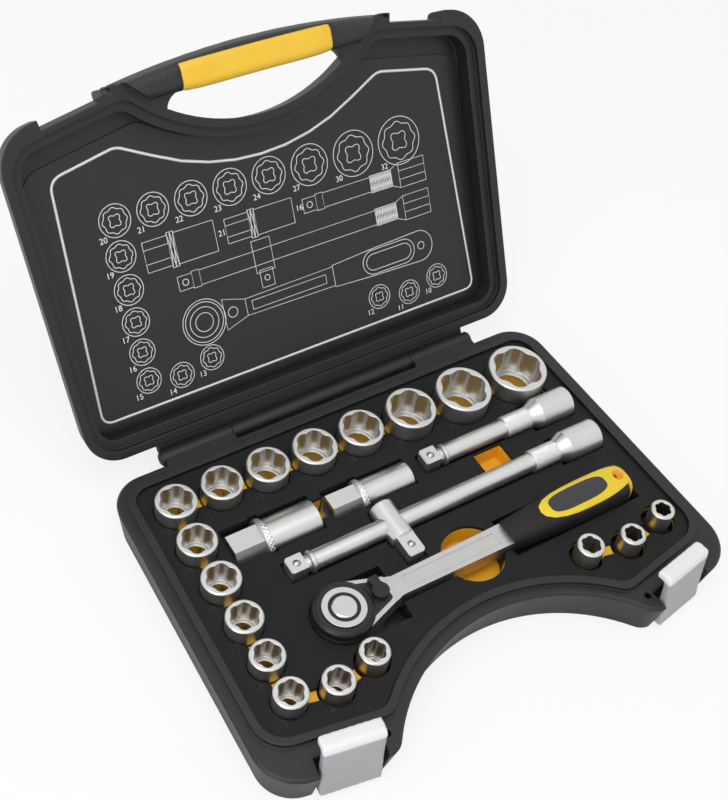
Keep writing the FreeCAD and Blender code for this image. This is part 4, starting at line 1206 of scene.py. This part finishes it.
class SOCKETSET_OT_ratchet(bpy.types.Operator):
    """Finish the ratchet: chrome body and button, black cover, lever and grip, yellow inlay"""

    bl_idname = "socketset.ratchet"
    bl_label = "Ratchet"

    def execute(self, context):
        looks = context.scene.tool_looks
        brushed = satin_chrome("ratchet_chrome", shade(looks.chrome_colour, 0.86), roughness=0.34,
                               radius=0.0006, stretch=(8, 1, 1))
        polished = satin_chrome("button_chrome", looks.chrome_colour, roughness=0.2, radius=0.0004)
        steel = satin_chrome("spring_steel", looks.steel_colour, roughness=0.3, radius=0.0001)
        black = moulded("cover_plastic", looks.black_colour, shade(looks.black_colour, 5), roughness=0.34,
                        radius=0.0006, specular=0.4)
        finishes = {
            brushed: ("ratchet_body",),
            polished: ("drive_gear", "release_button"),
            steel: ("drive_ball", "button_spring", "pawl", "pawl_spring"),
            black: ("ratchet_cover", "reverse_lever"),
        }
        for material, nodes in finishes.items():
            for node in nodes:
                dress(node, material)
        self.head(black)
        self.lever_seat(black)
        self.grip(looks)
        return {"FINISHED"}

    def head(self, black):
        """The cover's rounded rim over the head's edge, and a black ring round the button as painted shade for its
        groove.
        """
        centre = middle("ratchet_cover")
        cover = half_width("ratchet_cover")
        edge = half_width("ratchet_body")
        deck, top = (corner.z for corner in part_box("ratchet_cover"))
        tuck = cover - 0.0008
        proud = edge + 0.0004
        drop = deck - 0.0035
        rim = [(tuck, top - 0.0006), (cover, top), (edge - 0.0002, top - 0.0009), (proud, deck - 0.0004),
               (proud, drop), (edge - 0.0006, drop), (tuck, deck + 0.0002)]
        add_piece("cover_rim", lathe("cover_rim", rim, centre, 72), black, "ratchet")
        # Painted shade: a thin black ring where the groove round the button lies in shade
        inner = half_width("release_button") + 0.0002
        crest = inner + 0.001
        outer = crest + 0.001
        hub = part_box("drive_gear")[1].z
        low, high = hub - 0.0002, hub + 0.0002
        ring = [(inner, low), (inner, high), (crest, high + 0.00005), (outer, high), (outer, low)]
        add_piece("button_ring", lathe("button_ring", ring, centre, 72), black, "drive")

    def lever_seat(self, black):
        """The thin black plate that runs from the cover to the lever and ends round it."""
        centre = middle("ratchet_cover")
        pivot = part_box("reverse_lever")[0].x + lever_radius
        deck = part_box("ratchet_cover")[0].z
        sunk, proud = 0.0004, 0.0002
        inset = 0.0012
        inner = half_width("ratchet_cover") - inset
        lean = math.asin((inner - seat_radius) / (pivot - centre.x))
        turn = 90 - math.degrees(lean)
        outline = round_end(pivot, centre.y, seat_radius, -turn, turn)
        outline += round_end(centre.x, centre.y, inner, turn, -turn)
        outline = [(min(x, pivot + lever_radius), y) for x, y in outline]
        rings = [[(x, y, z) for x, y in outline] for z in (deck - sunk, deck + proud)]
        mesh = tube_mesh("lever_seat", rings, ends=True)
        add_piece("lever_seat", mesh, black, "ratchet")

    def grip(self, looks):
        """The black grip, its yellow inlay with the bare plate, and the hanging hole's ring."""
        form = GripForm(looks.grip_boxiness)
        cap = (form.end - looks.cap_length, 0, 0)
        rubber = moulded("grip_rubber", looks.black_colour, shade(looks.black_colour, 4), roughness=0.55,
                         radius=0.0012, grain=0.7, end=((1, 0, 0), cap, looks.inlay_colour))
        mesh = form.body("ratchet_grip_body")
        piece = add_piece("ratchet_grip_body", mesh, rubber, "ratchet")
        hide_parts("ratchet_grip")
        inlay = moulded("inlay_plastic", looks.inlay_colour, shade(looks.inlay_colour, 1.1), roughness=0.36,
                        radius=0.0006, specular=0.4)
        hole_x = form.end - hang_hole_inset
        margin, width_share, boxy = 0.0012, 0.8, 2.5
        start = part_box("grip_inlay")[0].x
        field = oval(start, form.end - margin, form.half_width * width_share, boxy, hole_x)
        mesh = form.patch("grip_inlay_field", hole_x, field, hole=0.0033, lift=0.0003, thickness=0.0012)
        piece = add_piece("grip_inlay_field", mesh, inlay, "ratchet")
        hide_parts("grip_inlay")
        badge = moulded("badge_plate", looks.badge_colour, shade(looks.badge_colour, 3), roughness=0.3,
                        radius=0.0004, specular=0.5)
        low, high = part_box("grip_badge")
        plate_x, plate_boxy = middle("grip_badge").x, 3.2
        plate = oval(low.x, high.x, half_width("grip_badge"), plate_boxy, plate_x)
        mesh = form.patch("grip_badge_plate", plate_x, plate, hole=0.0001, lift=0.0006, thickness=0.0008)
        piece = add_piece("grip_badge_plate", mesh, badge, "ratchet")
        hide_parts("grip_badge")
        orange = moulded("hole_plastic", looks.hole_colour, shade(looks.hole_colour, 1.1), roughness=0.4,
                         radius=0.0003)
        top = form.surface_z(hole_x, form.axis_y)
        core, floor_edge, crest, outer = 0.0002, 0.0027, 0.0036, 0.0041
        foot = top - 0.0016
        ring = [(core, top + 0.0001), (floor_edge, top + 0.0001), (0.0031, top + 0.0004),
                (crest, top + 0.0006), (outer, top + 0.0003), (outer, foot), (core, foot)]
        mesh = lathe("hang_hole_ring", ring, (hole_x, form.axis_y))
        add_piece("hang_hole_ring", mesh, orange, "ratchet")


class SOCKETSET_OT_stage(bpy.types.Operator):
    """Lay a pale floor, light it softly and set the camera"""

    bl_idname = "socketset.stage"
    bl_label = "Stage"

    def execute(self, context):
        looks = context.scene.stage_looks
        floor(looks)
        sky(looks)
        lamp("key_lamp", looks.key_power, key_size, key_place)
        lamp("fill_lamp", looks.fill_power, fill_size, fill_place)
        camera(looks)
        context.scene.view_settings.view_transform = "Standard"
        return {"FINISHED"}


def floor(looks):
    """A pale paper floor that the camera sees nearly white."""
    made = bmesh.new()
    bmesh.ops.create_grid(made, x_segments=1, y_segments=1, size=looks.floor_size / 2)
    obj = bpy.data.objects.new("floor", to_mesh("floor", made))
    bpy.context.scene.collection.objects.link(obj)
    finish = surface("floor_paper", Roughness=0.9, Specular_IOR_Level=0.1)
    tone = looks.floor_colour
    wear(finish, Base_Color=finish.mix(finish.noise(60.0), shade(tone, 0.99), shade(tone, 1.01)))
    seen = finish.node("ShaderNodeLightPath", out="Is Camera Ray")
    glow = finish.node("ShaderNodeEmission", inputs={"Color": (1, 1, 1, 1), "Strength": 1.0})
    paper = Value(finish, finish.shader.outputs[0])
    output = next(n for n in finish.tree.nodes if n.type == "OUTPUT_MATERIAL")
    mixed = finish.node("ShaderNodeMixShader", inputs={0: seen * looks.floor_glow, 1: paper, 2: glow})
    finish.feed(output.inputs["Surface"], mixed)
    obj.data.materials.append(finish.material)


def sky(looks):
    """Plain light from all round, and white where the camera or a shiny surface looks out."""
    world = bpy.data.worlds.new("studio")
    world.use_nodes = True
    bpy.context.scene.world = world
    finish = Finish(world.node_tree)
    background = next(n for n in world.node_tree.nodes if n.type == "BACKGROUND")
    seen = 0.0
    for kind in ("Camera", "Glossy", "Transmission"):
        seen = finish.node("ShaderNodeLightPath", out="Is %s Ray" % kind) + seen
    dim = (looks.ambient, looks.ambient, looks.ambient)
    finish.feed(background.inputs["Color"], finish.mix(seen, dim, (1, 1, 1)))


def lamp(name, power, size, place):
    """A square lamp that faces the open case."""
    light = bpy.data.lights.new(name, "AREA")
    light.energy = power
    light.size = size
    obj = bpy.data.objects.new(name, light)
    obj.location = place
    obj.rotation_euler = (lamp_target - place).to_track_quat("-Z", "Y").to_euler()
    bpy.context.scene.collection.objects.link(obj)


def camera(looks):
    """The camera, placed as for the photograph."""
    eye = bpy.data.cameras.new("camera")
    eye.sensor_fit = "HORIZONTAL"
    eye.sensor_width = 36.0
    eye.lens = looks.lens
    obj = bpy.data.objects.new("camera", eye)
    bpy.context.scene.collection.objects.link(obj)
    sight = Vector(looks.camera_target) - Vector(looks.camera_place)
    turn = sight.to_track_quat("-Z", "Y").to_matrix() @ Matrix.Rotation(looks.camera_roll, 3, "Z")
    obj.matrix_world = Matrix.Translation(looks.camera_place) @ turn.to_4x4()
    bpy.context.scene.camera = obj


operators = (
    SOCKETSET_OT_case, SOCKETSET_OT_tray, SOCKETSET_OT_label, SOCKETSET_OT_handle, SOCKETSET_OT_latches,
    SOCKETSET_OT_sockets, SOCKETSET_OT_plug_sockets, SOCKETSET_OT_bars, SOCKETSET_OT_ratchet,
    SOCKETSET_OT_stage,
)
groups = {
    "case_looks": CaseLooks,
    "label_looks": LabelLooks,
    "tool_looks": ToolLooks,
    "stage_looks": StageLooks,
}


class SOCKETSET_PT_panel(bpy.types.Panel):
    """The socket set's pieces and their looks"""

    bl_label = "Socket set"
    bl_idname = "SOCKETSET_PT_panel"
    bl_space_type = "VIEW_3D"
    bl_region_type = "UI"
    bl_category = "Socket set"

    def draw(self, context):
        for operator in operators:
            self.layout.operator(operator.bl_idname)
        for name, group in groups.items():
            box = self.layout.box()
            for field in group.__annotations__:
                box.prop(getattr(context.scene, name), field)


classes = tuple(groups.values()) + operators + (SOCKETSET_PT_panel,)


def register():
    for item in classes:
        bpy.utils.register_class(item)
    for name, group in groups.items():
        setattr(bpy.types.Scene, name, PointerProperty(type=group))


def unregister():
    for name in groups:
        delattr(bpy.types.Scene, name)
    for item in reversed(classes):
        bpy.utils.unregister_class(item)


def main():
    """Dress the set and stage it."""
    register()
    for operator in operators:
        family, name = operator.bl_idname.split(".")
        getattr(getattr(bpy.ops, family), name)()


if __name__ == "__main__":
    main()
